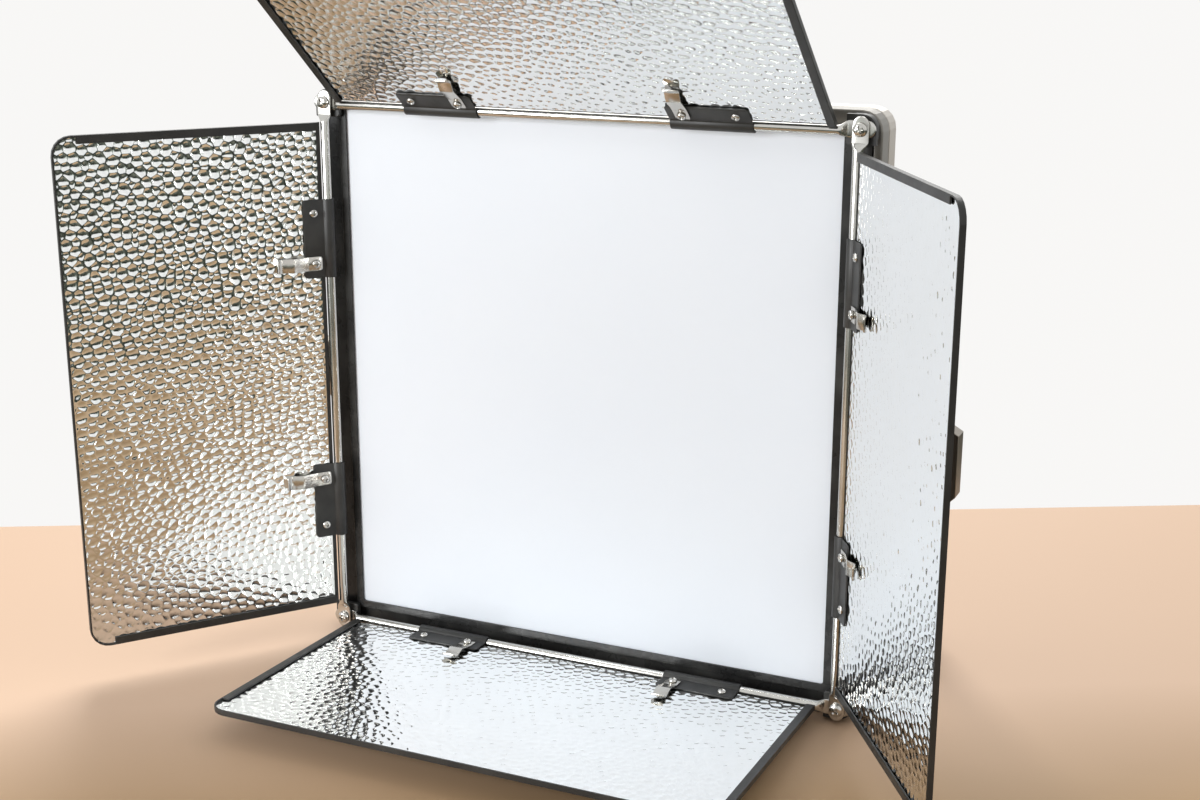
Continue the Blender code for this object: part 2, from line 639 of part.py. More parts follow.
level_rod = rod(LEVEL_PADDLE_Y, LEVEL_PADDLE_END)
upright_rod = rod(UPRIGHT_PADDLE_Y, UPRIGHT_PADDLE_END)

# Leaf: a shallow tray, open toward the rod, its two short sides folded over into hems
inner_corner = DOOR_CORNER - LEAF_SHEET
leaf_side = DOOR_LENGTH / 2
leaf_edge = rectangle(-leaf_side, leaf_side, LEAF_START, DOOR_REACH, [0, 0, DOOR_CORNER, DOOR_CORNER])
pocket_side = leaf_side - LEAF_SHEET
pocket_edge = rectangle(-pocket_side, pocket_side, LEAF_START - PAST, DOOR_REACH - LEAF_SHEET,
                        [0, 0, inner_corner, inner_corner])
hem_side = leaf_side - HEM_WIDTH
hem_edge = rectangle(-hem_side, hem_side, LEAF_START - 2 * PAST, DOOR_REACH - 2 * HEM_WIDTH, [0] * 4)
corner_edge = rectangle(-pocket_side, pocket_side, DOOR_REACH - HEM_STOP, DOOR_REACH - LEAF_SHEET,
                        [0, 0, inner_corner, inner_corner])
leaf = plate([leaf_edge], LEAF_BACK, HEM_TOP)
leaf = cut(leaf, plate([pocket_edge], LEAF_FLOOR, HEM_LOW), plate([hem_edge], HEM_LOW - FIT, HEM_TOP + PAST),
           plate([corner_edge], HEM_LOW - FIT, HEM_TOP + PAST))
bare_edge = rectangle(-leaf_side - PAST, leaf_side + PAST, LEAF_START - PAST, HEM_START, [0] * 4)
leaf = cut(leaf, plate([bare_edge], LEAF_FLOOR, HEM_TOP + PAST))

# Reflector sheet, lying in the tray under the hems
mirror_side = pocket_side - FIT
mirror_edge = rectangle(-mirror_side, mirror_side, MIRROR_START, DOOR_REACH - LEAF_SHEET - FIT,
                        [0, 0, inner_corner, inner_corner])
screw_holes = []
for side in (-1, 1):
    for along in (CLIP_SCREW_IN, FREE_SCREW_IN):
        screw_holes.append((side * (BRACKET_INNER + along), SCREW_REACH))
mirror_holes = [circle(SMALL_SCREW + 2 * FIT, x, y, 10) for x, y in screw_holes]
mirror = plate([mirror_edge] + mirror_holes, MIRROR_LOW, MIRROR_TOP)
for x, y in screw_holes:
    leaf = cut(leaf, drum(SMALL_SCREW + 2 * FIT, LEAF_BACK - PAST, LEAF_FLOOR + FIT / 2, "Z", (x, y, 0), 10))

# Hinge bracket: a strip rolled round the rod, with its two screws and their nuts
roll_middle = ROD_RADIUS + FIT + STRIP / 2
flat_level = STRIP_LOW + STRIP / 2
bend_level = flat_level + BRACKET_BEND
bend_out = math.sqrt((roll_middle + BRACKET_BEND) ** 2 - bend_level ** 2)
roll_start = math.degrees(math.atan2(bend_level, bend_out))
roll = [(BRACKET_REACH, flat_level)]
for step in range(3):
    angle = math.radians(270 - (90 - roll_start) * step / 3)
    roll.append((bend_out + BRACKET_BEND * math.cos(angle), bend_level + BRACKET_BEND * math.sin(angle)))
for step in range(11):
    angle = math.radians(roll_start + ROLL_TURN * step / 10)
    roll.append((roll_middle * math.cos(angle), roll_middle * math.sin(angle)))
brackets = {}
for side in (-1, 1):
    inner = side * BRACKET_INNER
    outer = side * (BRACKET_INNER + BRACKET_LENGTH)
    bracket = moved(plate([strip(roll, STRIP)], min(inner, outer), max(inner, outer)), SIDEWAYS)
    for along, head_low in ((CLIP_SCREW_IN, CLIP_HEAD_LOW), (FREE_SCREW_IN, STRIP_TOP - FIT)):
        spot = (side * (BRACKET_INNER + along), SCREW_REACH, 0)
        nut_top = LEAF_BACK - FIT
        screw = united(drum(SMALL_SCREW, nut_top - SMALL_NUT_RISE - FIT, head_low + FIT, "Z", spot, 10),
                       drum(SMALL_HEAD, head_low, head_low + SMALL_HEAD_RISE, "Z", spot, 12),
                       drum(SMALL_HEAD, nut_top - SMALL_NUT_RISE, nut_top, "Z", spot, 6))
        bracket = united(bracket, screw)
    brackets[side] = bracket

# Gel clip: a sprung strip with a hump and a turned-up tip, drilled for its screw
clip_middle = CLIP_LOW + CLIP_SHEET / 2
clip_line = [(-CLIP_TAIL, 0), (0.0045, 0), (0.0095, 0.42 * CLIP_HUMP), (0.0148, CLIP_HUMP), (0.0162, 0.92 * CLIP_HUMP),
             (0.0186, 0.40 * CLIP_HUMP), (0.0208, -0.5 * CLIP_DIP), (0.0222, -CLIP_DIP), (0.0238, 0.0002),
             (0.0258, 0.0016)]
clip_line = [(x, y + clip_middle) for x, y in clip_line]
clip = moved(plate([strip(clip_line, CLIP_SHEET)], -CLIP_WIDTH / 2, CLIP_WIDTH / 2), SIDEWAYS)
clip = cut(clip, drum(SMALL_SCREW + 2 * FIT, CLIP_LOW - PAST, CLIP_LOW + PAST, "Z", (0, 0, 0), 12))

# Rods and doors, the same door placed on each side
sides = (("top", 0, REST_TOP, level_rod), ("right", 90, REST_RIGHT, upright_rod),
         ("bottom", 180, REST_BOTTOM, level_rod), ("left", 270, REST_LEFT, upright_rod))
for name, turn, rest, bar in sides:
    side_holder = holder(f"{name}_side", None, (0, ROD_Y, HALF), (0, math.radians(turn), 0))
    part(f"rod_{name}", bar, BRIGHT_STEEL, side_holder, (0, 0, ROD_SPAN / 2))
    hinge = holder(f"{name}_hinge", side_holder, (0, 0, ROD_SPAN / 2), (math.radians(90 + rest), 0, 0))
    part(f"leaf_{name}", leaf, BLACK_COAT, hinge)
    part(f"reflector_{name}", mirror, HAMMERED_MIRROR, hinge)
    for number, side in ((1, -1), (2, 1)):
        part(f"hinge_bracket_{name}_{number}", brackets[side], BLACK_COAT, hinge)
        part(f"gel_clip_{name}_{number}", clip, BRIGHT_STEEL, hinge,
             (side * (BRACKET_INNER + CLIP_SCREW_IN), SCREW_REACH, 0))

# Corner brackets on the front frame, and the screws that hold the paddles to them
block_out = HALF - CORNER_BLOCK_EDGE
plate_edge = rectangle(block_out - CORNER_BLOCK, block_out, block_out - CORNER_BLOCK, block_out,
                       [0.002, 0, CORNER_BLOCK_RADIUS, 0])
foot_in = LIP_SIDE / 2 + 2 * FIT
foot_edge = rectangle(foot_in, block_out, foot_in, block_out, [0, 0, CORNER_BLOCK_RADIUS, 0])
plate_back = LIP_FRONT - FIT
screw_stop = plate_back - 2 * FIT
foot = plate([foot_edge], FIT - FLANGE_FRONT, FIT - plate_back)
corner = united(plate([plate_edge], -plate_back, -BLOCK_FRONT), foot)
screw_spot = (SCREW_OUT, SCREW_OUT, 0)
corner = cut(corner, drum(CORNER_SCREW + 2 * FIT, -screw_stop, PAST - BLOCK_FRONT, "Z", screw_spot, 12))
head_back = UPRIGHT_PADDLE_Y - PADDLE_SHEET / 2 - FIT
screw_profile = [(0, CORNER_HEAD_RISE - head_back), (CORNER_HEAD * 0.28, CORNER_HEAD_RISE * 0.9 - head_back),
                 (CORNER_HEAD * 0.43, CORNER_HEAD_RISE * 0.55 - head_back), (CORNER_HEAD / 2, -head_back),
                 (CORNER_SCREW / 2, -head_back), (CORNER_SCREW / 2, FIT - screw_stop), (0, FIT - screw_stop)]
corner_screw = turned(screw_profile, "Z", screw_spot, 16)
for name, turn in (("top_right", 0), ("bottom_right", 90), ("bottom_left", 180), ("top_left", 270)):
    corner_holder = holder(f"{name}_corner", None, (0, 0, HALF), (math.radians(90), math.radians(turn), 0))
    part(f"corner_bracket_{name}", corner, BLACK_COAT, corner_holder)
    part(f"corner_screw_{name}", corner_screw, BRIGHT_STEEL, corner_holder)

# Pivot bosses on the housing's sides, friction washers, and the levers on the studs
stud_end = ARM_OUT + LEVER_HUB_RISE * 0.7
boss_profile = [(0, stud_end), (PIVOT_STUD / 2, stud_end), (PIVOT_STUD / 2, HALF + FIT + BOSS_RISE),
                (BOSS_DIAMETER / 2, HALF + FIT + BOSS_RISE), (BOSS_DIAMETER / 2, HALF + FIT), (0, HALF + FIT)]
boss = turned(boss_profile, "X", (0, 0, 0), 20)
washer_low = HALF + FIT + BOSS_RISE + FIT
stud_hole = PIVOT_STUD + 2 * FIT
washer = moved(plate([circle(BOSS_DIAMETER, 0, 0, 20), circle(stud_hole, 0, 0, 20)], washer_low,
                     washer_low + WASHER_SHEET), TURNS["X"])
lever_outline = [(0.30 * LEVER_HUB_RISE, 0.44 * LEVER_HUB), (LEVER_HUB_RISE, 0.44 * LEVER_HUB),
                 (0.83 * LEVER_OUT, 0.14 * LEVER_HUB), (LEVER_OUT, -0.06 * LEVER_HUB),
                 (LEVER_OUT, 0.003 - LEVER_DROP), (LEVER_OUT - 0.003, -LEVER_DROP),
                 (LEVER_OUT - LEVER_GRIP + 0.001, -LEVER_DROP),
                 (LEVER_OUT - LEVER_GRIP, 0.003 - LEVER_DROP), (LEVER_OUT - LEVER_GRIP, -0.55 * LEVER_HUB),
                 (LEVER_HUB_RISE, -0.44 * LEVER_HUB), (0.30 * LEVER_HUB_RISE, -0.44 * LEVER_HUB)]
lever_outline = [(ARM_OUT + x, y) for x, y in lever_outline]
lever = moved(plate([lever_outline], -LEVER_THICK / 2, LEVER_THICK / 2), UPRIGHT)
lever = united(lever, drum(LEVER_HUB, ARM_OUT + FIT, ARM_OUT + LEVER_HUB_RISE, "X", (0, 0, 0), 20))
lever = cut(lever, drum(stud_hole, ARM_OUT - PAST, stud_end + FIT, "X", (0, 0, 0), 20))
for name, turn in (("right", 0), ("left", 180)):
    turn = (0, 0, math.radians(turn))
    part(f"pivot_boss_{name}", boss, SATIN_METAL, None, PIVOT, turn)
    part(f"friction_washer_{name}", washer, WASHER_NYLON, None, PIVOT, turn)
    part(f"tilt_lever_{name}", lever, SATIN_METAL, None, PIVOT, turn)

# Yoke: a bent flat bar, round at its ends, leaning back so that its crossbar props on the table
bar_middle = ARM_IN + YOKE_SHEET / 2
drop_middle = YOKE_DROP - YOKE_SHEET / 2
yoke_line = [(-bar_middle, YOKE_WIDTH)]
for side, first in ((-1, 180), (1, 270)):
    bend_x = side * (bar_middle - YOKE_BEND)
    for step in range(6):
        angle = math.radians(first + 18 * step)
        rise = YOKE_BEND + YOKE_BEND * math.sin(angle)
        yoke_line.append((bend_x + YOKE_BEND * math.cos(angle), rise - drop_middle))
yoke_line.append((bar_middle, YOKE_WIDTH))
yoke = moved(plate([strip(yoke_line, YOKE_SHEET)], -YOKE_WIDTH / 2, YOKE_WIDTH / 2), UPRIGHT)
end_steps = [math.radians(18 * step) for step in range(11)]
end_outline = [(-YOKE_WIDTH, -YOKE_DROP - PAST), (YOKE_WIDTH, -YOKE_DROP - PAST), (YOKE_WIDTH, 0)]
end_outline += [(YOKE_WIDTH / 2 * math.cos(a), YOKE_WIDTH / 2 * math.sin(a)) for a in end_steps]
end_outline += [(-YOKE_WIDTH, 0)]
ends = moved(plate([end_outline], -ARM_OUT - PAST, ARM_OUT + PAST), SIDEWAYS)
yoke = joined(yoke, ends, "INTERSECT")
yoke = cut(yoke, drum(stud_hole, -ARM_OUT - PAST, ARM_OUT + PAST, "X", (0, 0, 0), 20),
           drum(YOKE_HOLE, -YOKE_DROP - PAST, YOKE_SHEET - YOKE_DROP + PAST, "Z", (0, 0, 0), 16))
part("yoke", yoke, SATIN_METAL, None, PIVOT, (YOKE_LEAN, 0, 0))
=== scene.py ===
# %% [markdown]
# This lesson dresses a square LED panel light: a flat lamp with a frosted front, a two-part housing, four barn
# doors lined with hammered mirror sheet, and a yoke that it leans back on. The shape of every part comes packed
# from CAD. The lesson replaces what the camera sees closely with finer meshes and gives every part a finish.

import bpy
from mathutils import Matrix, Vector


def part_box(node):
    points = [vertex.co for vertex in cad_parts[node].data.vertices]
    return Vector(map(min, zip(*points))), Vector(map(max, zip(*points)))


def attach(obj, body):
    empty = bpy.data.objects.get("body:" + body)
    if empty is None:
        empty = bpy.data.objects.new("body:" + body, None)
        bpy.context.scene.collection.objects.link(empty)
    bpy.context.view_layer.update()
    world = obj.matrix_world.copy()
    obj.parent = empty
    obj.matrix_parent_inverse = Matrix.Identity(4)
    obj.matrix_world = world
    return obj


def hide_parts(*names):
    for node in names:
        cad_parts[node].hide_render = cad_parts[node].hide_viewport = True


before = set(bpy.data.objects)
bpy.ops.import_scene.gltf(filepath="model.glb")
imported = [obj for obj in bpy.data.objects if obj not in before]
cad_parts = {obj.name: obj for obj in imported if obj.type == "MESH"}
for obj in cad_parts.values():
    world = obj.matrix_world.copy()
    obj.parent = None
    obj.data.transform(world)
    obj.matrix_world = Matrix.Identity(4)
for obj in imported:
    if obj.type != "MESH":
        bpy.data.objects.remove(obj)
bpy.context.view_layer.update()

# %% Tools for meshes and numbers
import math
import random

import bmesh
import bpy
from mathutils import Matrix, Vector

scene = bpy.context.scene
scene.view_settings.view_transform = "Standard"

# %% [markdown]
# The camera stands right of the light and a little above its middle, looking left and down. Its place was fitted
# from the screws, rods and door edges that can be measured in a picture, so the doors open to the same angles here.
# A lens of about 52 mm keeps the upright edges almost parallel.

# %% Camera
CAMERA_PLACE = (0.4296, -0.9336, 0.4612)
CAMERA_YAW = 24.26
CAMERA_PITCH = -15.48
CAMERA_ROLL = 0.126
LENS = 51.64
SENSOR_WIDTH = 36


def spin(degrees, axis):
    """A turn about one axis."""
    return Matrix.Rotation(math.radians(degrees), 4, axis)


camera = bpy.data.objects.new("camera", bpy.data.cameras.new("camera"))
scene.collection.objects.link(camera)
camera.data.sensor_fit = "HORIZONTAL"
camera.data.sensor_width = SENSOR_WIDTH
camera.data.lens = LENS
camera.matrix_world = (Matrix.Translation(CAMERA_PLACE) @ spin(CAMERA_YAW, "Z") @ spin(90 + CAMERA_PITCH, "X")
                       @ spin(CAMERA_ROLL, "Z"))
scene.camera = camera
print("camera:", [round(value, 3) for value in camera.matrix_world.translation])

# %% [markdown]
# A finish is a small web of shader nodes. Writing the web by hand is slow, so one class wraps a socket and lets
# Python's own signs add Math nodes, and another keeps the node tree and adds any other node. An expression such as
# 0.4 + 0.2 * grain then reads like the thought behind it.

# %% Shader helpers
class Wire:
    """One output socket; sums with it become Math nodes."""

    def __init__(self, web, socket):
        self.web = web
        self.socket = socket

    def maths(self, operation, first, second):
        return self.web.node("ShaderNodeMath", {"operation": operation}, {0: first, 1: second})

    def __add__(self, other):
        return self.maths("ADD", self, other)

    def __radd__(self, other):
        return self.maths("ADD", other, self)

    def __sub__(self, other):
        return self.maths("SUBTRACT", self, other)

    def __rsub__(self, other):
        return self.maths("SUBTRACT", other, self)

    def __mul__(self, other):
        return self.maths("MULTIPLY", self, other)

    def __rmul__(self, other):
        return self.maths("MULTIPLY", other, self)


class Web:
    """A node tree that new nodes are added to."""

    def __init__(self, tree):
        self.tree = tree

    def node(self, kind, settings=None, inputs=None, output=0):
        made = self.tree.nodes.new(kind)
        for name, value in (settings or {}).items():
            if name == "stops":
                for stop, (place, grey) in zip(made.color_ramp.elements, value):
                    stop.position = place
                    stop.color = (grey, grey, grey, 1)
            else:
                setattr(made, name, value)
        for name, value in (inputs or {}).items():
            if isinstance(value, Wire):
                self.tree.links.new(value.socket, made.inputs[name])
            else:
                made.inputs[name].default_value = value
        return Wire(self, made.outputs[output])

    def noise(self, scale, detail, stretch=(1, 1, 1)):
        """Cloudy values around a half, finer as the scale grows; stretch pulls the clouds out along an axis."""
        place = self.node("ShaderNodeTexCoord", output="Object")
        if stretch != (1, 1, 1):
            place = self.node("ShaderNodeMapping", None, {"Vector": place, "Scale": stretch})
        return self.node("ShaderNodeTexNoise", None, {"Vector": place, "Scale": scale, "Detail": detail})

    def steps(self, value, low, high):
        """Zero below one value and one above another, with a ramp between."""
        return self.node("ShaderNodeValToRGB", {"stops": ((low, 0.0), (high, 1.0))}, {"Fac": value})

    def blend(self, share, first, second):
        """One colour fading into another."""
        return self.node("ShaderNodeMix", {"data_type": "RGBA"}, {0: share, 6: first, 7: second}, 2)


class Finish(Web):
    """A material with one Principled shader; plain values sit on its sockets, changing ones are wired in."""

    def __init__(self, name, **values):
        self.material = bpy.data.materials.new(name)
        self.material.use_nodes = True
        super().__init__(self.material.node_tree)
        self.shader = self.tree.nodes["Principled BSDF"]
        for socket, value in values.items():
            self.shader.inputs[socket.replace("_", " ").title().replace("Ior", "IOR")].default_value = value

    def feed(self, socket, wire):
        self.tree.links.new(wire.socket, self.shader.inputs[socket])

    def relief(self, height, depth, strength):
        """Small bumps, their depth in metres."""
        self.feed("Normal", self.node("ShaderNodeBump", None,
                                      {"Strength": strength, "Distance": depth, "Height": height}))


def shade(red, green, blue):
    """A colour as a shader wants it."""
    return (red, green, blue, 1)


print("shader helpers ready")

# %% [markdown]
# The floor is a plain top in a warm tone, which the mirrors pick up. Its colour holds painted shade: a deeper brown
# band just in front of the light is a painted shadow of the light and its doors, and the table's front beyond it is a
# painted shade, darker than the back though lighter than the band. It is almost square to the camera and ends a
# little behind the light, as a table does, and white takes over from there. It could be a cove that curves up into a
# wall, but a wall would stand in front of a camera that walks round to the back.

# %% Floor
FLOOR_TURN = 27.8
FLOOR_RIGHT = 0.56
FLOOR_LEFT = -0.62
FLOOR_BACK = 0.286
FLOOR_FRONT = -0.64
# The painted shadow band fades in between the first pair of values, and the painted shade of the table's front between
# the second, counted toward the camera.
PAINTED_SHADOW_FADE = (0.05, 0.22)
PAINTED_FRONT_SHADE_FADE = (0.20, 0.45)
shape = bmesh.new()
floor_turn = spin(FLOOR_TURN, "Z")
outline = ((FLOOR_LEFT, FLOOR_FRONT), (FLOOR_RIGHT, FLOOR_FRONT), (FLOOR_RIGHT, FLOOR_BACK), (FLOOR_LEFT, FLOOR_BACK))
shape.faces.new([shape.verts.new(floor_turn @ Vector((x, y, 0))) for x, y in outline])
floor_mesh = bpy.data.meshes.new("floor")
shape.to_mesh(floor_mesh)
shape.free()
floor = bpy.data.objects.new("floor", floor_mesh)
scene.collection.objects.link(floor)
floor_finish = Finish("pale_floor", roughness=0.6)
clouds = floor_finish.noise(1.6, 2)
pale = floor_finish.blend(clouds, shade(0.76, 0.53, 0.37), shade(0.84, 0.60, 0.43))
spot = floor_finish.node("ShaderNodeTexCoord", output="Object")
nearness = floor_finish.node("ShaderNodeVectorMath", {"operation": "DOT_PRODUCT"},
                             {0: spot, 1: tuple(floor_turn @ Vector((0, -1, 0)))}, "Value")
grain = floor_finish.noise(9, 4, (0.25, 1, 1))
# Painted shadow: a deeper brown band of table just in front of the light, where the light and its doors throw their
# shadow.
middle = floor_finish.blend(grain, shade(0.40, 0.24, 0.10), shade(0.48, 0.30, 0.14))
# Painted shade: the table's front beyond the band, darker than the back though lighter than the band.
near = floor_finish.blend(clouds, shade(0.60, 0.41, 0.235), shade(0.68, 0.48, 0.29))
tones_with_painted_shadow = floor_finish.blend(floor_finish.steps(nearness, *PAINTED_SHADOW_FADE), pale, middle)
floor_finish.feed("Base Color", floor_finish.blend(floor_finish.steps(nearness, *PAINTED_FRONT_SHADE_FADE), tones_with_painted_shadow, near))
floor_mesh.materials.append(floor_finish.material)
print("floor ends", FLOOR_BACK, "m behind the light's foot")

# %% [markdown]
# The light of the room does two jobs. For matt surfaces it is an even, slightly warm fill from everywhere. For
# mirrors it is a picture: white from the horizon up and behind the light, and a dark patchy band between the horizon
# and the table's edge; the camera sees plain white. Polished metal looks like metal only when it has both dark and
# bright things to show.

# %% Room light
FILL = 0.30
HORIZON = (0.440, 0.462)
TABLE_EDGE = (0.40, 0.43)
BEHIND = (-0.75, 0.66, 0)
BEHIND_FADE = (0.56, 0.64)
world = bpy.data.worlds.new("room")
scene.world = world
world.use_nodes = True
room = Web(world.node_tree)
way = room.node("ShaderNodeTexCoord", output="Generated")


def toward(direction):
    """How far a ray goes along a direction, from 0 for straight away to 1 for straight along."""
    unit = tuple(Vector(direction).normalized())
    along = room.node("ShaderNodeVectorMath", {"operation": "DOT_PRODUCT"}, {0: way, 1: unit}, "Value")
    return along * 0.5 + 0.5


shapes = room.node("ShaderNodeTexNoise", None, {"Vector": way, "Scale": 3.2, "Detail": 2.0})
dark_room = room.blend(room.steps(shapes, 0.46, 0.58), shade(0.014, 0.018, 0.013), shade(0.62, 0.68, 0.62))
clouded = room.node("ShaderNodeTexNoise", None, {"Vector": way, "Scale": 5.0, "Detail": 2.0})
whites = room.blend(room.steps(clouded, 0.36, 0.62), shade(0.87, 0.88, 0.88), shade(1.0, 1.0, 0.99))
height = toward((0, 0, 1))
lit_room = room.blend(room.steps(height, *HORIZON), dark_room, whites)
lit_room = room.blend(room.steps(toward(BEHIND), *BEHIND_FADE), lit_room, whites)
below = room.blend(room.steps(shapes, 0.40, 0.70), shade(0.045, 0.052, 0.040), shade(0.22, 0.23, 0.19))
reflected = room.blend(room.steps(height, *TABLE_EDGE), below, lit_room)
is_camera = room.node("ShaderNodeLightPath", output="Is Camera Ray")
is_glossy = room.node("ShaderNodeLightPath", output="Is Glossy Ray")
is_through = room.node("ShaderNodeLightPath", output="Is Transmission Ray")
seen = room.blend(is_camera, reflected, shade(0.94, 0.932, 0.92))
picture = room.node("ShaderNodeBackground", None, {"Color": seen, "Strength": 1.0})
fill = room.node("ShaderNodeBackground", None, {"Color": shade(1.0, 0.98, 0.95), "Strength": FILL})
direct = is_camera.maths("MAXIMUM", is_camera, is_glossy)
direct = direct.maths("MAXIMUM", direct, is_through)
mixed = room.node("ShaderNodeMixShader", None, {0: direct, 1: fill, 2: picture})
room.tree.links.new(mixed.socket, room.tree.nodes["World Output"].inputs["Surface"])
print("room light:", len(room.tree.nodes), "nodes")

# %% [markdown]
# Two large soft lamps give the shapes some direction. One stands low in front, for the diffuser. The other is high
# behind, so that the light throws its shadow toward the camera and the table stays bright on both sides.

# %% Lamps
def lamp(name, place, aim, size, watts, colour):
    """A soft square lamp that faces a point."""
    made = bpy.data.objects.new(name, bpy.data.lights.new(name, "AREA"))
    made.data.size = size
    made.data.energy = watts
    made.data.color = colour
    direction = Vector(aim) - Vector(place)
    made.matrix_world = Matrix.Translation(place) @ direction.to_track_quat("-Z", "Y").to_matrix().to_4x4()
    scene.collection.objects.link(made)


MIDDLE = (0, 0, 0.18)
lamp("front_lamp", (-0.85, -1.45, 0.55), MIDDLE, 0.7, 20, (0.97, 0.985, 1.0))
lamp("back_lamp", (-0.5, 1.5, 1.9), MIDDLE, 2.0, 54, (1.0, 0.995, 0.98))
print("lamps: 2")

# %% [markdown]
# The doors' trays, the hinge strips and the corner brackets are powder coated: a black skin with a fine orange
# peel, a little greyer where hands rub it. Two sizes of noise do it, a fine one for the bumps and a cloudy one for
# the wear.

# %% Powder coat and frame black
def powder_coat(name, dark, worn, gloss, shine=0.5):
    """Black baked coat, its peel about half a millimetre across."""
    made = Finish(name, specular_ior_level=shine)
    wear = made.steps(made.noise(38, 5), 0.42, 0.75)
    made.feed("Base Color", made.blend(wear, shade(*dark), shade(*worn)))
    made.feed("Roughness", gloss + 0.18 * made.noise(120, 3))
    made.relief(made.noise(1500, 2), 0.00007, 0.6)
    return made


black_coat = powder_coat("black_coat", (0.018, 0.018, 0.017), (0.040, 0.039, 0.036), 0.34)
black_steel = powder_coat("black_steel", (0.020, 0.020, 0.019), (0.045, 0.044, 0.041), 0.36)
frame_black = powder_coat("frame_black", (0.014, 0.014, 0.014), (0.055, 0.055, 0.053), 0.20, 0.3)
print("powder coats: 3")

# %% [markdown]
# Rods, screws and clips are nickel plated steel. The plating is nearly a mirror, with faint streaks along the
# drawn bar and a trace of haze. A stretched noise gives the streaks.

# %% Bright steel
bright_steel = Finish("bright_steel", metallic=1.0)
streaks = bright_steel.noise(260, 4, (0.12, 1, 1))
haze = bright_steel.noise(70, 3)
bright_steel.feed("Base Color", bright_steel.blend(haze, shade(0.50, 0.485, 0.455), shade(0.66, 0.65, 0.62)))
bright_steel.feed("Roughness", 0.10 + 0.10 * streaks + 0.06 * haze)
bright_steel.relief(streaks, 0.00003, 0.4)
spring_steel = Finish("spring_steel", metallic=1.0)
brushing = spring_steel.noise(900, 3, (1, 0.1, 1))
spring_haze = spring_steel.noise(90, 3)
spring_steel.feed("Base Color", spring_steel.blend(spring_haze, shade(0.50, 0.48, 0.44), shade(0.62, 0.60, 0.56)))
spring_steel.feed("Roughness", 0.12 + 0.12 * brushing)
spring_steel.relief(brushing, 0.00003, 0.5)
print("bright and spring steel ready")

# %% [markdown]
# The reflector sheet is polished aluminium. Its hammered dents are real geometry, made further down. The finish
# only adds the tarnish of a used sheet: slightly different roughness in soft clouds, and the fine grain of rolling.

# %% Mirror finish
hammered_mirror = Finish("hammered_mirror", metallic=1.0)
tarnish = hammered_mirror.noise(22, 4)
rolling = hammered_mirror.noise(420, 2, (0.15, 1, 1))
hammered_mirror.feed("Base Color", hammered_mirror.blend(tarnish, shade(0.88, 0.885, 0.87), shade(0.93, 0.94, 0.935)))
hammered_mirror.feed("Roughness", 0.03 + 0.06 * tarnish)
hammered_mirror.relief(rolling, 0.00002, 0.5)
print("mirror finish ready")

# %% [markdown]
# The housing is sheet metal in a warm silver paint. Paint like that holds tiny metal flakes, so the shader is half
# metallic, with a fine sparkle in its roughness and a faint cloudiness in its colour. The front shell gets a much
# darker copy of the same paint: that darkness is painted shade, standing for its sides lying in shade.

# %% Housing paint
def silver_paint(name, dark, pale, metal):
    """Paint with metal flakes in it."""
    made = Finish(name, metallic=metal)
    flakes = made.noise(2600, 1)
    cloud = made.noise(30, 4)
    made.feed("Base Color", made.blend(cloud, shade(*dark), shade(*pale)))
    made.feed("Roughness", 0.34 + 0.14 * flakes)
    made.relief(flakes, 0.00003, 0.4)
    return made


# Painted shade: the front shell's copy of the paint is darker, as its sides lie in shade.
front_grey_painted_shade = silver_paint("front_grey_painted_shade", (0.25, 0.237, 0.214), (0.31, 0.295, 0.27), 0.55)
housing_grey = silver_paint("housing_grey", (0.66, 0.62, 0.565), (0.74, 0.70, 0.645), 0.45)
print("housing paints: 2")

# %% [markdown]
# The diffuser is a frosted sheet of opal plastic, a cool white when the lamp is off. Frosting is a fine grain in the
# bump. A very slight cloudiness keeps the large flat from looking like a drawing.

# %% Diffuser and the white parts behind it
def white_plastic(name, cool, warm, rough, grain):
    """Matt white plastic with a fine grain."""
    made = Finish(name)
    cloud = made.noise(9, 3)
    frost = made.noise(grain, 2)
    made.feed("Base Color", made.blend(cloud, shade(*cool), shade(*warm)))
    made.feed("Roughness", rough + 0.12 * frost)
    made.relief(frost, 0.00005, 0.5)
    return made


soft_white = white_plastic("soft_white", (0.825, 0.875, 0.945), (0.86, 0.90, 0.955), 0.42, 1900)
chamber_white = white_plastic("chamber_white", (0.80, 0.80, 0.79), (0.85, 0.85, 0.84), 0.55, 900)
board_white = white_plastic("board_white", (0.68, 0.70, 0.68), (0.73, 0.75, 0.73), 0.45, 700)
washer_nylon = white_plastic("washer_nylon", (0.52, 0.51, 0.47), (0.58, 0.57, 0.53), 0.40, 1200)
print("white plastics: 4")

# %% [markdown]
# The heat sink is bare extruded aluminium with die lines along its fins, and the yoke and its levers are a warm
# satin metal. Both come from one recipe, a metal with lines drawn out along one axis.

# %% Drawn metals
def drawn_metal(name, dark, pale, rough, along):
    """Metal with fine lines along one axis."""
    made = Finish(name, metallic=1.0)
    stretch = tuple(0.04 if axis == along else 1 for axis in "XYZ")
    lines = made.noise(700, 3, stretch)
    cloud = made.noise(26, 4)
    made.feed("Base Color", made.blend(cloud, shade(*dark), shade(*pale)))
    made.feed("Roughness", rough + 0.16 * lines)
    made.relief(lines, 0.00004, 0.5)
    return made


bare_aluminium = drawn_metal("bare_aluminium", (0.46, 0.46, 0.47), (0.60, 0.60, 0.61), 0.30, "Z")
satin_metal = drawn_metal("satin_metal", (0.24, 0.21, 0.18), (0.34, 0.31, 0.27), 0.28, "Z")
print("drawn metals: 2")

# %% [markdown]
# Knobs, sockets and the panel are moulded black plastic with a spark-eroded grain. The display window is smoked
# glass, and the marks are a matt white print that is slightly worn.

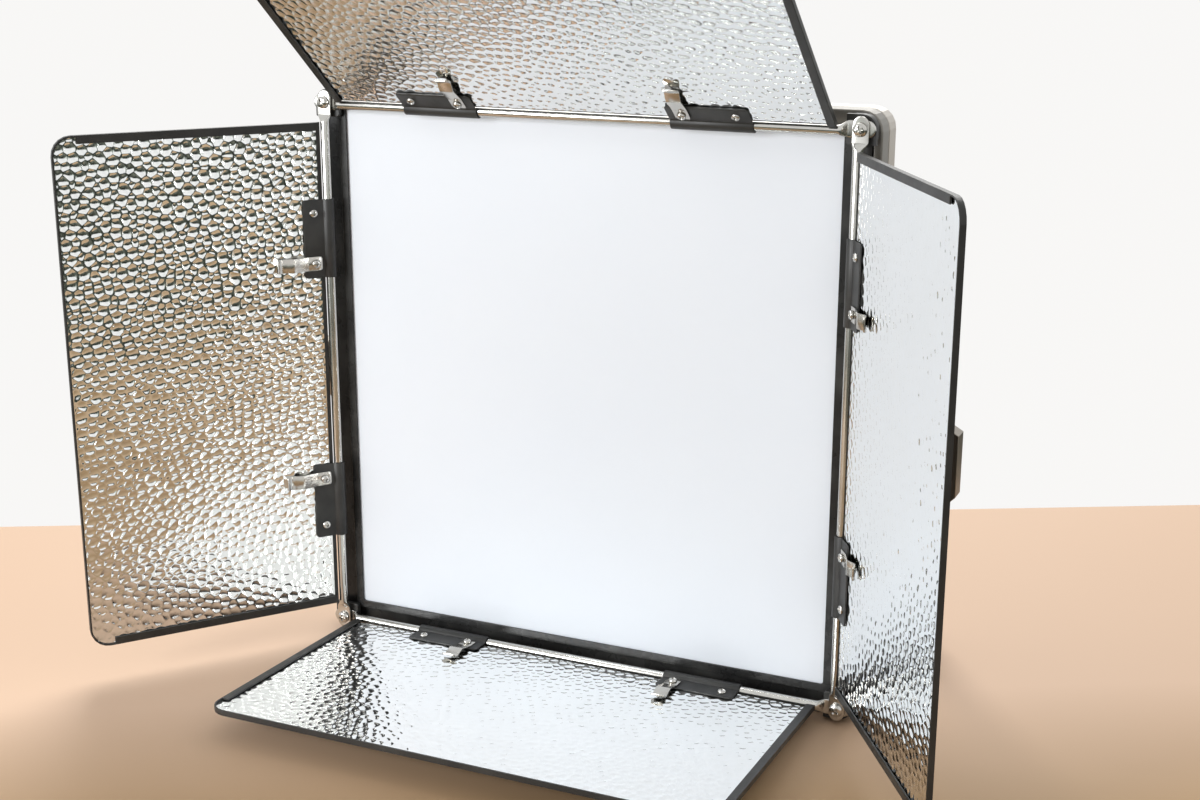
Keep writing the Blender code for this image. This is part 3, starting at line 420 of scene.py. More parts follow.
# %% Plastic, glass and print
black_plastic = Finish("black_plastic")
grain = black_plastic.noise(1700, 2)
scuffs = black_plastic.steps(black_plastic.noise(60, 5), 0.5, 0.8)
black_plastic.feed("Base Color", black_plastic.blend(scuffs, shade(0.017, 0.017, 0.018), shade(0.034, 0.034, 0.034)))
black_plastic.feed("Roughness", 0.36 + 0.20 * grain)
black_plastic.relief(grain, 0.00005, 0.5)
display_glass = Finish("display_glass", coat_weight=1.0, coat_roughness=0.03)
smoke = display_glass.noise(40, 3)
display_glass.feed("Base Color", display_glass.blend(smoke, shade(0.008, 0.011, 0.014), shade(0.014, 0.019, 0.024)))
display_glass.feed("Roughness", 0.08 + 0.10 * smoke)
mark_white = Finish("mark_white")
fading = mark_white.noise(500, 3)
mark_white.feed("Base Color", mark_white.blend(fading, shade(0.55, 0.55, 0.54), shade(0.78, 0.78, 0.76)))
mark_white.feed("Roughness", 0.5 + 0.2 * fading)
print("plastic, glass and print ready")

# %% [markdown]
# Most pieces are lofts: rings of points joined by faces, closed at both ends. Every mesh is shaded smooth except
# where two faces meet at a steep angle, and every finished piece is tied to the CAD body that it moves with.

# %% Mesh helpers
def meshed(shape, name, sharp):
    """A mesh out of a bmesh, smooth apart from its steep edges."""
    bmesh.ops.recalc_face_normals(shape, faces=shape.faces)
    for face in shape.faces:
        face.smooth = True
    for edge in shape.edges:
        edge.smooth = len(edge.link_faces) == 2 and edge.calc_face_angle() < math.radians(sharp)
    made = bpy.data.meshes.new(name)
    shape.to_mesh(made)
    shape.free()
    return made


def add_loft(shape, rings):
    """A closed skin over rings of points."""
    loops = [[shape.verts.new(point) for point in ring] for ring in rings]
    for low, high in zip(loops, loops[1:]):
        for i in range(len(low)):
            after = (i + 1) % len(low)
            shape.faces.new((low[i], low[after], high[after], high[i]))
    shape.faces.new(loops[0][::-1])
    shape.faces.new(loops[-1])


def piece(name, mesh, finish, body, place=None, replaces=()):
    """A finished piece on its body."""
    made = bpy.data.objects.new(name, mesh)
    scene.collection.objects.link(made)
    if place is not None:
        made.matrix_world = place
    if not mesh.materials:
        mesh.materials.append(finish.material)
    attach(made, body)
    if replaces:
        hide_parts(*replaces)
    return made


print("mesh helpers ready")

# %% [markdown]
# The four doors are alike. One set of meshes lies along a rod on the X axis, with the door reaching along Y, and is
# placed four times: turned round the panel, carried out to its rod, and swung open by its own angle.

# %% Places of the doors
PANEL_MIDDLE = 0.1815
ROD_AHEAD = -0.019
ROD_OUT = 0.1712
SIDES = {"top": (0, 50.1), "right": (90, 57.3), "bottom": (180, 92.2), "left": (270, 52.8)}
rod_place = {}
door_place = {}
for side, (turn, opening) in SIDES.items():
    rod_place[side] = (Matrix.Translation((0, ROD_AHEAD, PANEL_MIDDLE)) @ spin(turn, "Y")
                       @ Matrix.Translation((0, 0, ROD_OUT)))
    door_place[side] = rod_place[side] @ spin(90 + opening, "X")
    low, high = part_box(f"leaf_{side}")
    print(side, "door from", [round(v, 3) for v in low], "to", [round(v, 3) for v in high])

# %% [markdown]
# A hammered sheet is a patchwork of round dents, 4 to 8 mm across. A bump in the shader can't bend reflections as
# cleanly as real dents do, so the sheet is cut into a patchwork of nearest points: each dent keeps the ground that
# is closer to its middle than to any other middle. A few middles are left out and some count for more, so the dents
# differ in size.

# %% Patchwork of dents
DENT = 0.0056
ROW_STEP = DENT * 0.866
LEFT_OUT = 0.10
SHAKE = 0.42
WEIGHT = 0.22
PATCH_REACH = 1.7 * DENT
NEIGHBOUR_REACH = 3.2 * DENT
NEIGHBOURS = 3
CORNER_ANGLES = (15, 30, 45, 60, 75)
SHEET_SIDE = 0.1587
SHEET_START = 0.0064
SHEET_END = 0.1662
SHEET_CORNER = 0.011


def clipped(polygon, across, limit):
    """What is left of a polygon on the near side of a line."""
    left = []
    for here, there in zip(polygon, polygon[1:] + polygon[:1]):
        first = here[0] * across[0] + here[1] * across[1] - limit
        second = there[0] * across[0] + there[1] * across[1] - limit
        if first <= 0:
            left.append(here)
        if first * second < 0:
            share = first / (first - second)
            left.append((here[0] + share * (there[0] - here[0]), here[1] + share * (there[1] - here[1])))
    return left


def dent_seeds(luck):
    """Rows of shaken points over the sheet, each with a weight; some are left out so that a neighbour grows."""
    rows = round((SHEET_END - SHEET_START) / ROW_STEP)
    columns = round(SHEET_SIDE / DENT)
    seeds = {}
    for row in range(-2, rows + 4):
        for column in range(-3 - columns, 4 + columns):
            if luck.random() < LEFT_OUT:
                continue
            x = (column + 0.5 * (row % 2) + luck.uniform(-SHAKE, SHAKE)) * DENT
            y = SHEET_START + row * ROW_STEP + luck.uniform(-SHAKE, SHAKE) * DENT
            seeds[row, column] = (x, y, luck.uniform(-WEIGHT, WEIGHT) * DENT ** 2)
    return seeds


def sheet_edges():
    """The sheet's outline as half planes: a direction out and how far."""
    edges = [((1, 0), SHEET_SIDE), ((-1, 0), SHEET_SIDE), ((0, 1), SHEET_END), ((0, -1), -SHEET_START)]
    for side in (-1, 1):
        for angle in CORNER_ANGLES:
            out = (side * math.cos(math.radians(angle)), math.sin(math.radians(angle)))
            middle = (side * (SHEET_SIDE - SHEET_CORNER), SHEET_END - SHEET_CORNER)
            edges.append((out, out[0] * middle[0] + out[1] * middle[1] + SHEET_CORNER))
    return edges


def nearest_ground(seeds, row, column):
    """The ground that is closer to one seed than to any other; a heavier seed takes more."""
    x, y, weight = seeds[row, column]
    reach = PATCH_REACH
    patch = [(x - reach, y - reach), (x + reach, y - reach), (x + reach, y + reach), (x - reach, y + reach)]
    for other_row in range(row - NEIGHBOURS, row + NEIGHBOURS + 1):
        for other_column in range(column - NEIGHBOURS, column + NEIGHBOURS + 1):
            other = seeds.get((other_row, other_column))
            if other is None or other == (x, y, weight):
                continue
            away = (other[0] - x, other[1] - y)
            if math.hypot(*away) < NEIGHBOUR_REACH:
                limit = (other[0] ** 2 + other[1] ** 2 - other[2] - x * x - y * y + weight) / 2
                patch = clipped(patch, away, limit)
    return patch


def middle_of(points):
    """The mean of some points."""
    return tuple(sum(point[axis] for point in points) / len(points) for axis in (0, 1))


luck = random.Random(21)
seeds = dent_seeds(luck)
for relaxing in range(2):
    grounds = {key: nearest_ground(seeds, *key) for key in seeds}
    seeds = {key: (*middle_of(ground), seeds[key][2]) for key, ground in grounds.items() if len(ground) > 2}
patches = []
for key in seeds:
    patch = nearest_ground(seeds, *key)
    for out, limit in sheet_edges():
        patch = clipped(patch, out, limit)
    if len(patch) > 2:
        patches.append(patch)
print("dents on a sheet:", len(patches))

# %% [markdown]
# Each patch becomes a shallow dish, as if struck with a round hammer: its edge is a ridge that it shares with its
# neighbours, and rings sink from there and get rounder toward the bottom. The walls lean only gently, so the sheet
# still mirrors large things whole. A bottom that is a little off centre makes every dish different. The sheet's rim
# is then pulled down and closed, so it is a thin solid like the real one. A ring is given by its size, how round it
# is and how far it has sunk.

# %% Hammered sheet
RIDGE = 0.0004
DISH_DEPTH = 0.110
DEPTH_RANGE = (0.85, 1.12)
OFF_CENTRE = 0.06
DISH_RINGS = ((1.0, 0, 0), (0.93, 0.40, 0.11), (0.78, 0.65, 0.47), (0.55, 0.85, 0.81), (0.28, 1.0, 0.97))
SHEET_BACK = -0.0004
EDGE_STEP = 0.0022
EDGE_SPARE = 0.30
SHORTEST_EDGE = 0.00002
SHEET_WELD = 0.000004


def patch_edge(patch):
    """Points round a patch, long edges divided."""
    points = []
    for here, there in zip(patch, patch[1:] + patch[:1]):
        length = math.dist(here, there)
        if length < SHORTEST_EDGE:
            continue
        parts = 1 + int(length / EDGE_STEP + EDGE_SPARE)
        for part in range(parts):
            share = part / parts
            points.append((here[0] + share * (there[0] - here[0]), here[1] + share * (there[1] - here[1])))
    return points


def add_dish(shape, patch, luck):
    """One hammer mark, its edge on the ridge."""
    edge = patch_edge(patch)
    if len(edge) < 3:
        return
    x, y = middle_of(edge)
    near = min(math.dist(point, (x, y)) for point in edge)
    depth = DISH_DEPTH * near * luck.uniform(*DEPTH_RANGE)
    off = (luck.gauss(0, OFF_CENTRE) * near, luck.gauss(0, OFF_CENTRE) * near)
    loops = []
    for share, rounding, sunk in DISH_RINGS:
        ring = []
        for px, py in edge:
            size = share * (1 - rounding * (1 - near / math.dist((px, py), (x, y))))
            ring.append(shape.verts.new((x + (px - x) * size + off[0] * (1 - share),
                                         y + (py - y) * size + off[1] * (1 - share), RIDGE - depth * sunk)))
        loops.append(ring)
    bottom = shape.verts.new((x + off[0], y + off[1], RIDGE - depth))
    for low, high in zip(loops, loops[1:]):
        for i in range(len(low)):
            after = (i + 1) % len(low)
            shape.faces.new((low[i], low[after], high[after], high[i]))
    for i in range(len(edge)):
        shape.faces.new((loops[-1][i], loops[-1][(i + 1) % len(edge)], bottom))


shape = bmesh.new()
for patch in patches:
    add_dish(shape, patch, luck)
bmesh.ops.remove_doubles(shape, verts=shape.verts, dist=SHEET_WELD)
rim = [edge for edge in shape.edges if len(edge.link_faces) == 1]
skirt = bmesh.ops.extrude_edge_only(shape, edges=rim)["geom"]
for vert in skirt:
    if isinstance(vert, bmesh.types.BMVert):
        vert.co.z = SHEET_BACK
bmesh.ops.holes_fill(shape, edges=[edge for edge in shape.edges if len(edge.link_faces) == 1], sides=0)
print("open edges left:", sum(len(edge.link_faces) == 1 for edge in shape.edges))
hammered_sheet = meshed(shape, "hammered_sheet", 50)
for side in SIDES:
    piece(f"mirror_sheet_{side}", hammered_sheet, hammered_mirror, f"door_{side}", door_place[side],
          [f"reflector_{side}"])
print("faces on a sheet:", len(hammered_sheet.polygons))

# %% [markdown]
# Folded and moulded parts have the right shape already, but CAD edges are razor sharp and catch no light. A copy of
# such a part gets narrow round edges: weld it, merge its flat triangles, and bevel what is steep. Its large flats
# are not shaded smooth, because a smooth normal would wander across them.

# %% Softened copies
LARGE_FLAT = 0.00004
CAD_WELD = 0.000002
SAME_FLAT = 0.01
STEEP = math.radians(30)


def softened(node, width, segments):
    """The CAD part with round edges."""
    shape = bmesh.new()
    shape.from_mesh(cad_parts[node].data)
    bmesh.ops.remove_doubles(shape, verts=shape.verts, dist=CAD_WELD)
    bmesh.ops.dissolve_limit(shape, angle_limit=SAME_FLAT, verts=shape.verts, edges=shape.edges)
    hard = [edge for edge in shape.edges if len(edge.link_faces) == 2 and edge.calc_face_angle() > STEEP]
    bmesh.ops.bevel(shape, geom=hard, offset=width, offset_type="OFFSET", segments=segments, profile=0.5,
                    affect="EDGES", clamp_overlap=True)
    made = meshed(shape, f"soft_{node}", 40)
    for face in made.polygons:
        face.use_smooth = face.area < LARGE_FLAT
    return made


def soften(node, finish, body, width, segments=2):
    """Show a softened copy in place of the CAD part."""
    return piece(f"soft_{node}", softened(node, width, segments), finish, body, None, [node])


print("softened copies ready")

# %% Door leaves
for side in SIDES:
    made = soften(f"leaf_{side}", black_coat, f"door_{side}", 0.00035)
    print(made.name, len(made.data.polygons), "faces")

# %% [markdown]
# The doors hang on nickel plated rods. Each end of a rod is hammered flat into a paddle, with a neck where the round
# bar spreads out. A loft along the bar makes bar, neck and paddle in one skin. The corner screw covers the hole that
# a real paddle has, so the skin has none.

# %% Rods
ROD_RADIUS = 0.003
PADDLE_HALF = 0.00475
PADDLE_SHEET = 0.0016
NECK_START = 0.0112
NECK_END = 0.0058
SCREW_OUT = 0.172
PADDLE_OUT = SCREW_OUT - ROD_OUT
LEVEL_SETBACK = 0.0029
LEVEL_PAST_SCREW = 0.0080
UPRIGHT_SETBACK = 0.0010
UPRIGHT_PAST_SCREW = 0.0072
ROD_STEPS = 8
TIP_STEP = 10.5
ROD_SIDES = 28


def rod_rows(setback, past_screw):
    """Rows along half a rod: how far along, how flat, half width, half thickness, how far back, how far out."""
    rows = []
    for step in range(ROD_STEPS + 1):
        flat = 0.5 - 0.5 * math.cos(math.pi * step / ROD_STEPS)
        along = ROD_OUT - NECK_START + (NECK_START - NECK_END) * step / ROD_STEPS
        wide = ROD_RADIUS + (PADDLE_HALF - ROD_RADIUS) * flat
        thick = ROD_RADIUS + (PADDLE_SHEET / 2 - ROD_RADIUS) * flat
        rows.append((along, flat, wide, thick, setback * flat, PADDLE_OUT * flat))
    for step in range(ROD_STEPS + 1):
        angle = math.radians(TIP_STEP * step)
        along = SCREW_OUT + past_screw - PADDLE_HALF * (1 - math.sin(angle))
        rows.append((along, 1, PADDLE_HALF * math.cos(angle), PADDLE_SHEET / 2, setback, PADDLE_OUT))
    return rows


def rod_mesh(name, setback, past_screw):
    """A rod with a paddle at each end."""
    half = rod_rows(setback, past_screw)
    rings = []
    for along, flat, wide, thick, back, out in [(-row[0], *row[1:]) for row in half[::-1]] + half:
        ring = []
        for number in range(ROD_SIDES):
            angle = 2 * math.pi * number / ROD_SIDES
            through = math.copysign(abs(math.cos(angle)) ** (1 - 0.7 * flat), math.cos(angle))
            spread = math.copysign(abs(math.sin(angle)) ** (1 - 0.4 * flat), math.sin(angle))
            ring.append((along, back + thick * through, out + wide * spread))
        rings.append(ring)
    shape = bmesh.new()
    add_loft(shape, rings)
    return meshed(shape, name, 50)


level_rod = rod_mesh("level_rod", LEVEL_SETBACK, LEVEL_PAST_SCREW)
upright_rod = rod_mesh("upright_rod", UPRIGHT_SETBACK, UPRIGHT_PAST_SCREW)
for side in SIDES:
    mesh = level_rod if side in ("top", "bottom") else upright_rod
    piece(f"plated_rod_{side}", mesh, bright_steel, "head", rod_place[side], [f"rod_{side}"])
print("rod faces:", len(level_rod.polygons))

# %% [markdown]
# The screws are pan heads with a cross recess. The recess is only a change of radius with angle, so the head can be
# one loft: up the outside, over the dome to the edge of the cross, down its tapered walls and across its floor.

# %% Pan head screws
def cross_radius(angle, long, narrow):
    """How far the cross reaches at an angle."""
    off = abs((angle + math.pi / 4) % (math.pi / 2) - math.pi / 4)
    return min(long / math.cos(off), narrow / max(math.sin(off), 1e-6))


def add_screw(shape, diameter, rise, x, y, low, foot, shank, sides=48):
    """A pan head with its shank, its head standing on one level and its shank reaching down to another."""
    radius = diameter / 2
    rings = []
    for size, level in ((shank / 2, foot), (shank / 2, low), (radius * 0.97, low), (radius, low + rise * 0.12),
                        (radius * 0.985, low + rise * 0.34), (radius * 0.90, low + rise * 0.66),
                        (radius * 0.76, low + rise * 0.87)):
        rings.append([(size, level)] * sides)
    angles = [2 * math.pi * number / sides for number in range(sides)]
    lip = [cross_radius(angle, radius * 0.58, radius * 0.17) for angle in angles]
    rings.append([(size, low + rise * (1 - 0.22 * (size / radius) ** 2)) for size in lip])
    rings.append([(size * 0.92, low + rise * 0.86) for size in lip])
    rings.append([(size * 0.62, low + rise * 0.35) for size in lip])
    loops = []
    for ring in rings:
        loops.append([(x + size * math.cos(angle), y + size * math.sin(angle), level)
                      for (size, level), angle in zip(ring, angles)])
    add_loft(shape, loops)


print("screw maker ready")

# %% Corner screws
CORNERS = {"top_right": 0, "bottom_right": 90, "bottom_left": 180, "top_left": 270}
CORNER_HEAD = 0.008
CORNER_RISE = 0.0024
CORNER_SEAT = 0.0191
CORNER_FOOT = 0.0122
CORNER_SHANK = 0.0038
FIRST_CROSS = 23
CROSS_STEP = 31
shape = bmesh.new()
add_screw(shape, CORNER_HEAD, CORNER_RISE, 0, 0, CORNER_SEAT, CORNER_FOOT, CORNER_SHANK)
corner_screw = meshed(shape, "corner_screw", 40)
for number, (corner, turn) in enumerate(CORNERS.items()):
    place = (Matrix.Translation((0, 0, PANEL_MIDDLE)) @ spin(turn, "Y") @ spin(90, "X")
             @ Matrix.Translation((SCREW_OUT, SCREW_OUT, 0)) @ spin(FIRST_CROSS + CROSS_STEP * number, "Z"))
    piece(f"pan_screw_{corner}", corner_screw, bright_steel, "head", place,
          [f"corner_screw_{corner}"])
    soften(f"corner_bracket_{corner}", black_steel, "head", 0.0005)
print("corner screw faces:", len(corner_screw.polygons))

# %% [markdown]
# A hinge bracket is a strip of black steel rolled round the rod, with its flat lying on the mirror sheet. A ribbon
# follows the strip's middle line; each of its rings is a flat rounded section, and the sections get shorter near the
# end, so the flat has rounded corners.

# %% Hinge strips
STRIP = 0.0008
STRIP_REACH = 0.0172
STRIP_LEVEL = 0.0011
STRIP_BEND = 0.0012
STRIP_CORNER = 0.0022
ROLL_GAP = 0.0003
ROLL_TURN = 250
ROLL_STEPS = 24
BEND_STEPS = 6
BRACKET_IN = 0.062
BRACKET_OUT = 0.112


def add_ribbon(shape, line, sheet):
    """A bent strip; the line holds Y, Z and the two ends along X for each station."""
    rings = []
    for number, (y, z, start, stop) in enumerate(line):
        before = line[max(number - 1, 0)]
        after = line[min(number + 1, len(line) - 1)]
        along = Vector((after[0] - before[0], after[1] - before[1])).normalized()
        normal = Vector((-along.y, along.x)) * sheet / 2
        edge = sheet * 0.32
        ring = []
        for x, lift in ((start, -0.35), (start + edge * 0.3, -0.78), (start + edge, -1), (stop - edge, -1),
                        (stop - edge * 0.3, -0.78), (stop, -0.35), (stop, 0.35), (stop - edge * 0.3, 0.78),
                        (stop - edge, 1), (start + edge, 1), (start + edge * 0.3, 0.78), (start, 0.35)):
            ring.append((x, y + normal.x * lift, z + normal.y * lift))
        rings.append(ring)
    add_loft(shape, rings)


def strip_line(start, stop):
    """Stations from the flat's end to the lip of the roll."""
    roll = ROD_RADIUS + ROLL_GAP + STRIP / 2
    bend_high = STRIP_LEVEL + STRIP_BEND
    bend_out = math.sqrt((roll + STRIP_BEND) ** 2 - bend_high ** 2)
    first = math.degrees(math.atan2(bend_high, bend_out))
    line = []
    for step in range(6):
        angle = math.radians(18 * step)
        in_by = STRIP_CORNER * (1 - math.sin(angle))
        line.append((STRIP_REACH - STRIP_CORNER * (1 - math.cos(angle)), STRIP_LEVEL, start + in_by, stop - in_by))
    for step in range(BEND_STEPS):
        angle = math.radians(270 - (90 - first) * step / BEND_STEPS)
        line.append((bend_out + STRIP_BEND * math.cos(angle), bend_high + STRIP_BEND * math.sin(angle), start, stop))
    for step in range(ROLL_STEPS + 1):
        angle = math.radians(first + ROLL_TURN * step / ROLL_STEPS)
        line.append((roll * math.cos(angle), roll * math.sin(angle), start, stop))
    return line


strips = {}
for number, start in ((1, -BRACKET_OUT), (2, BRACKET_IN)):
    shape = bmesh.new()
    add_ribbon(shape, strip_line(start, start + BRACKET_OUT - BRACKET_IN), STRIP)
    strips[number] = meshed(shape, f"hinge_strip_{number}", 45)
    for side in SIDES:
        piece(f"hinge_strip_{side}_{number}", strips[number], black_steel, f"door_{side}",
              door_place[side], [f"hinge_bracket_{side}_{number}"])
print("hinge strip faces:", len(strips[1].polygons))

# %% [markdown]
# Two small screws hold each strip, with six-sided nuts behind the door. The inner one of them also holds the gel
# clip, so its head stands higher.

# %% Hinge screws and nuts
SCREW_REACH = 0.0105
CLIP_SCREW = 0.0715
FREE_SCREW = 0.1035
CLIP_SEAT = 0.0028
FREE_SEAT = 0.0015
SMALL_HEAD = 0.0055
SMALL_RISE = 0.0018
SMALL_FOOT = -0.0049
SMALL_SHANK = 0.0028
SMALL_SIDES = 32
NUT_LOW = -0.0044
NUT_HIGH = -0.0020
NUT_WIDTH = 0.0050
NUT_TRIM = 0.0003
FLATS_PER_CORNER = 1.732
ENDS = ((1, -1), (2, 1))


def add_nut(shape, x, y, low, high, width):
    """A six-sided nut with trimmed corners."""
    rings = []
    for scale, level in ((0.92, low), (1.0, low + NUT_TRIM), (1.0, high)):
        rings.append([(x + scale * width / FLATS_PER_CORNER * math.cos(math.radians(60 * i)),
                       y + scale * width / FLATS_PER_CORNER * math.sin(math.radians(60 * i)), level) for i in range(6)])
    add_loft(shape, rings)


for number, end in ENDS:
    shape = bmesh.new()
    for out, seat in ((CLIP_SCREW, CLIP_SEAT), (FREE_SCREW, FREE_SEAT)):
        add_screw(shape, SMALL_HEAD, SMALL_RISE, end * out, SCREW_REACH, seat, SMALL_FOOT, SMALL_SHANK, SMALL_SIDES)
        add_nut(shape, end * out, SCREW_REACH, NUT_LOW, NUT_HIGH, NUT_WIDTH)
    mesh = meshed(shape, f"hinge_screws_{number}", 40)
    for side in SIDES:
        piece(f"hinge_screws_{side}_{number}", mesh, bright_steel, f"door_{side}", door_place[side])
print("hinge screws:", 4 * len(SIDES))

# %% [markdown]
# The gel clip is a sprung tongue of plated steel: flat under its screw, rising to a hump, dipping back to the sheet,
# and turned up at the tip so that a filter slides under it. A smooth curve through a few points gives its line.

# %% Gel clips
CLIP_HALF = 0.0045
CLIP_SHEET = 0.0007
CLIP_LOW = 0.0018
CLIP_START = -0.0042
CLIP_END = 0.0258
CLIP_CORNER = 0.0012
HUMP = 0.0019


def smooth_line(points, parts):
    """More points along a curve that passes through all the given ones."""
    line = []
    for i in range(len(points) - 1):
        p0, p1, p2, p3 = (Vector(points[min(max(i + k, 0), len(points) - 1)]) for k in (-1, 0, 1, 2))
        for part in range(parts):
            t = part / parts
            line.append(0.5 * (2 * p1 + (p2 - p0) * t + (2 * p0 - 5 * p1 + 4 * p2 - p3) * t * t
                               + (3 * p1 - 3 * p2 + p3 - p0) * t ** 3))
    return line + [Vector(points[-1])]


clip_points = [(CLIP_START, 0), (-0.0035, 0), (0.0040, 0), (0.0050, 0.02 * HUMP), (0.0095, 0.42 * HUMP),
               (0.0143, 0.95 * HUMP), (0.0150, HUMP), (0.0157, 0.95 * HUMP), (0.0186, 0.40 * HUMP),
               (0.0205, -0.00015), (0.0216, -0.0004), (0.0226, -0.0003), (0.0238, 0.0002), (0.0253, 0.0013),
               (CLIP_END, 0.0016)]
line = []
for point in smooth_line(clip_points, 4):
    from_end = min(point.x - CLIP_START, CLIP_END - point.x)
    in_by = 0.0
    if from_end <= CLIP_CORNER:
        in_by = CLIP_CORNER - math.sqrt(max(CLIP_CORNER ** 2 - (CLIP_CORNER - from_end) ** 2, 0))
    line.append((point.x, CLIP_LOW + CLIP_SHEET / 2 + point.y, in_by - CLIP_HALF, CLIP_HALF - in_by))
shape = bmesh.new()
add_ribbon(shape, line, CLIP_SHEET)
gel_clip = meshed(shape, "gel_clip", 45)
for side in SIDES:
    for number, end in ENDS:
        place = door_place[side] @ Matrix.Translation((end * CLIP_SCREW, SCREW_REACH, 0))
        piece(f"sprung_clip_{side}_{number}", gel_clip, spring_steel, f"clip_{side}_{number}", place,
              [f"gel_clip_{side}_{number}"])
print("clip faces:", len(gel_clip.polygons))

# %% [markdown]
# The front frame and the two housing shells keep their CAD shapes with softer edges. The frame is a thin pressing,
# so its edges are tight, and the shells are folded sheet, so theirs are rounder.

# %% Front frame and housing
for node, finish, slot, width in (("front_frame", frame_black, "frame_black", 0.0005),
                                  ("front_shell", front_grey_painted_shade, "housing_grey", 0.0011),
                                  ("rear_shell", housing_grey, "housing_grey", 0.0008)):
    made = soften(node, finish, "head", width, 3)
    print(made.name, len(made.data.polygons), "faces")

# %% [markdown]
# The yoke is a bent flat bar and each tilt lever is a cast handle on a threaded stud. Both are softened copies too,
# the levers with wide round edges that suit a hand.

# %% Yoke, levers and pivots
soften("yoke", satin_metal, "yoke", 0.0007)
for hand in ("left", "right"):
    soften(f"tilt_lever_{hand}", satin_metal, f"lever_{hand}", 0.0012, 3)
    soften(f"pivot_boss_{hand}", satin_metal, "head", 0.0005)

# %% [markdown]
# The knobs have grip flutes, which are again a radius that changes with angle, and a white pointer let into the
# top. The pointer is a piece of its own, because it has its own finish. A ring of the knob is given by its size, its
# level and how deep its flutes are.

# %% Control knobs
KNOB_RADIUS = 0.010
KNOB_RISE = 0.014
KNOB_FLUTES = 22
KNOB_SIDES = 176
KNOB_RINGS = ((0.5, 0, 0), (1.0, 0, 0), (1.0, 0.16, 0), (0.965, 0.2, 0.02), (0.95, 0.24, 0.055), (0.93, 0.84, 0.05),
              (0.90, 0.94, 0.03), (0.84, 1.0, 0), (0.74, 1.0, 0), (0.70, 0.965, 0), (0.2, 0.955, 0))
POINTER_HALF = 0.0006
POINTER_INNER = 0.0035
POINTER_OUTER = 0.0083
POINTER_SUNK = 0.0006
POINTER_PROUD = 0.0001


def knob_mesh(low, high):
    """A fluted knob along Z with a slightly dished top."""
    rise = high - low
    rings = []
    for size, level, depth in KNOB_RINGS:
        ring = []
        for number in range(KNOB_SIDES):
            angle = 2 * math.pi * number / KNOB_SIDES
            radius = KNOB_RADIUS * (size - depth * (0.5 + 0.5 * math.cos(KNOB_FLUTES * angle)))
            ring.append((radius * math.cos(angle), radius * math.sin(angle), low + rise * level))
        rings.append(ring)
    shape = bmesh.new()
    add_loft(shape, rings)
    return meshed(shape, "knob", 40)


def bar_mesh(name, low, high):
    """A thin raised bar, given by its low and high corner, with trimmed edges."""
    shape = bmesh.new()
    size = Vector(high) - Vector(low)
    middle = (Vector(high) + Vector(low)) / 2
    bmesh.ops.create_cube(shape, size=1, matrix=Matrix.Translation(middle) @ Matrix.Diagonal((*size, 1)))
    bmesh.ops.bevel(shape, geom=list(shape.edges), offset=min(size) * 0.25, segments=1, affect="EDGES")
    return meshed(shape, name, 30)


OUTWARD = spin(-90, "X")
for knob in ("dimmer_knob", "colour_knob"):
    low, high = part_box(knob)
    middle = (low + high) / 2
    base = high.y - KNOB_RISE
    place = Matrix.Translation((middle.x, 0, middle.z)) @ OUTWARD
    piece(f"fluted_{knob}", knob_mesh(base, high.y), black_plastic, knob, place, [knob])
    pointer = bar_mesh("pointer", (-POINTER_HALF, -POINTER_OUTER, high.y - POINTER_SUNK),
                       (POINTER_HALF, -POINTER_INNER, high.y + POINTER_PROUD))
    piece(f"pointer_{knob}", pointer, mark_white, knob, place)
    print(knob, "at", [round(v, 4) for v in middle])

# %% [markdown]
# Round each knob the panel carries a printed dial of ticks, and the rocker switch has the usual bar and ring for on
# and off. Print has almost no thickness, so thin bars a few hundredths of a millimetre high stand for it.

# %% Dials, switch and its marks
TICKS = 11
FIRST_TICK = -135
TICK_TURN = 27
TICK_WIDTH = 0.0007
TICK_SHEET = 0.00012
LONG_TICK = 0.0026
SHORT_TICK = 0.0016
DIAL_RADIUS = 0.0130
ROCKER_AXLE = 0.0533
ROCKER_REST = 8
ROCKER_LEAN = 7
MARK_LEVEL = 0.00247
MARK_UP = 0.0058
MARK_SHEET = 0.0002
BAR_MARK = (0.0007, MARK_SHEET, 0.0042, 1)
RING_MARK = (0.00062, MARK_SHEET, 0.0006, 1)
RING_RADIUS = 0.0020
RING_PARTS = 24
panel_low, panel_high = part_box("control_panel")
shape = bmesh.new()
for knob in ("dimmer_knob", "colour_knob"):
    low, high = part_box(knob)
    middle = (low + high) / 2
    for number in range(TICKS):
        turn = Matrix.Translation((middle.x, panel_high.y, middle.z)) @ spin(FIRST_TICK + TICK_TURN * number, "Y")
        size = Matrix.Diagonal((TICK_WIDTH, TICK_SHEET, LONG_TICK if number % 5 == 0 else SHORT_TICK, 1))
        bmesh.ops.create_cube(shape, size=1, matrix=turn @ Matrix.Translation((0, 0, DIAL_RADIUS)) @ size)
piece("dial_ticks", meshed(shape, "dial_ticks", 30), mark_white, "head")
soften("power_switch", black_plastic, "power_switch", 0.0006, 3)
switch_low, switch_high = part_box("power_switch")
switch_middle = (switch_low + switch_high) / 2
rocker_place = Matrix.Translation((switch_middle.x, ROCKER_AXLE, switch_middle.z)) @ spin(ROCKER_REST, "X")
shape = bmesh.new()
lean = Matrix.Translation((0, MARK_LEVEL, MARK_UP)) @ spin(-ROCKER_LEAN, "X")
bmesh.ops.create_cube(shape, size=1, matrix=lean @ Matrix.Diagonal(BAR_MARK))
lean = Matrix.Translation((0, MARK_LEVEL, -MARK_UP)) @ spin(ROCKER_LEAN, "X")
for number in range(RING_PARTS):
    turn = lean @ spin(360 / RING_PARTS * number, "Y")
    out = Matrix.Translation((0, 0, RING_RADIUS))
    bmesh.ops.create_cube(shape, size=1, matrix=turn @ out @ Matrix.Diagonal(RING_MARK))
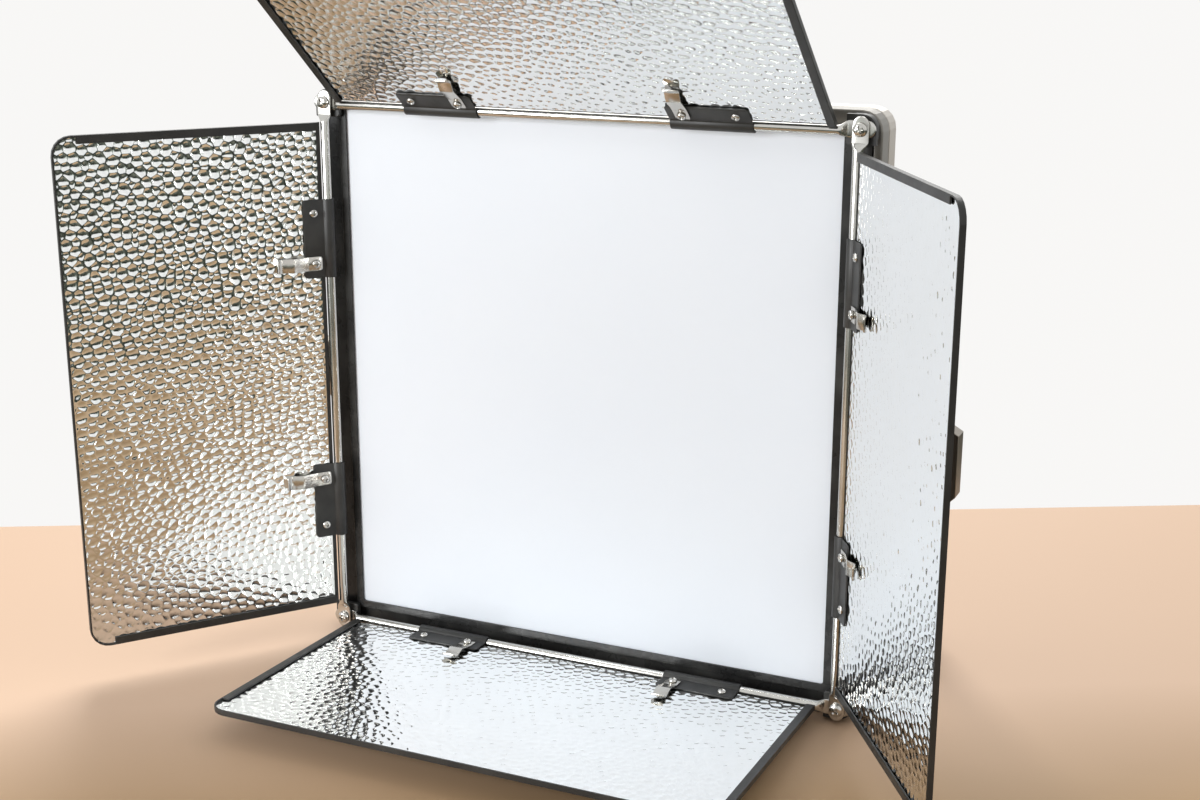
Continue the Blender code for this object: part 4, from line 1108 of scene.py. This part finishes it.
piece("switch_marks", meshed(shape, "switch_marks", 30), mark_white, "power_switch", rocker_place)
print("ticks on a dial:", TICKS)

# %% [markdown]
# The inlet, the data sockets, the panel and the display are softened copies, and four small screws hold the panel
# to the rear shell.

# %% Panel, inlet, sockets and display
PANEL_HEAD = 0.0050
PANEL_RISE = 0.0016
PANEL_SHANK = 0.0026
PANEL_SCREW_OUT = 0.1105
PANEL_SCREW_UP = 0.0235
for node, finish, slot, width in (("control_panel", black_plastic, "black_plastic", 0.0004),
                                  ("power_inlet", black_plastic, "black_plastic", 0.0003),
                                  ("data_socket_1", black_plastic, "black_plastic", 0.0003),
                                  ("data_socket_2", black_plastic, "black_plastic", 0.0003),
                                  ("display_window", display_glass, "display_glass", 0.0004)):
    made = soften(node, finish, "head", width)
    print(made.name, len(made.data.polygons), "faces")
panel_middle = (panel_low + panel_high) / 2
shape = bmesh.new()
for across in (-1, 1):
    for up in (-1, 1):
        add_screw(shape, PANEL_HEAD, PANEL_RISE, across * PANEL_SCREW_OUT, panel_middle.z + up * PANEL_SCREW_UP,
                  panel_high.y, panel_low.y, PANEL_SHANK, SMALL_SIDES)
bmesh.ops.transform(shape, matrix=OUTWARD @ Matrix.Diagonal((1, -1, 1, 1)), verts=shape.verts)
piece("panel_screws", meshed(shape, "panel_screws", 40), bright_steel, "head")
print("panel screws: 4")

# %% [markdown]
# What is left keeps its CAD mesh and only takes a finish: the diffuser, the parts behind it, the fins and the
# washers.

# %% Finishes on the CAD parts
PLAIN = {"diffuser": soft_white, "mixing_chamber": chamber_white, "led_board": board_white,
         "heat_sink": bare_aluminium, "driver_box": bare_aluminium, "friction_washer_left": washer_nylon,
         "friction_washer_right": washer_nylon}
for node, finish in PLAIN.items():
    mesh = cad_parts[node].data
    mesh.materials.clear()
    mesh.materials.append(finish.material)
    for face in mesh.polygons:
        face.material_index = 0
still_plain = [name for name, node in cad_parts.items() if not node.hide_render and name not in PLAIN]
print("CAD parts without a finish:", still_plain)
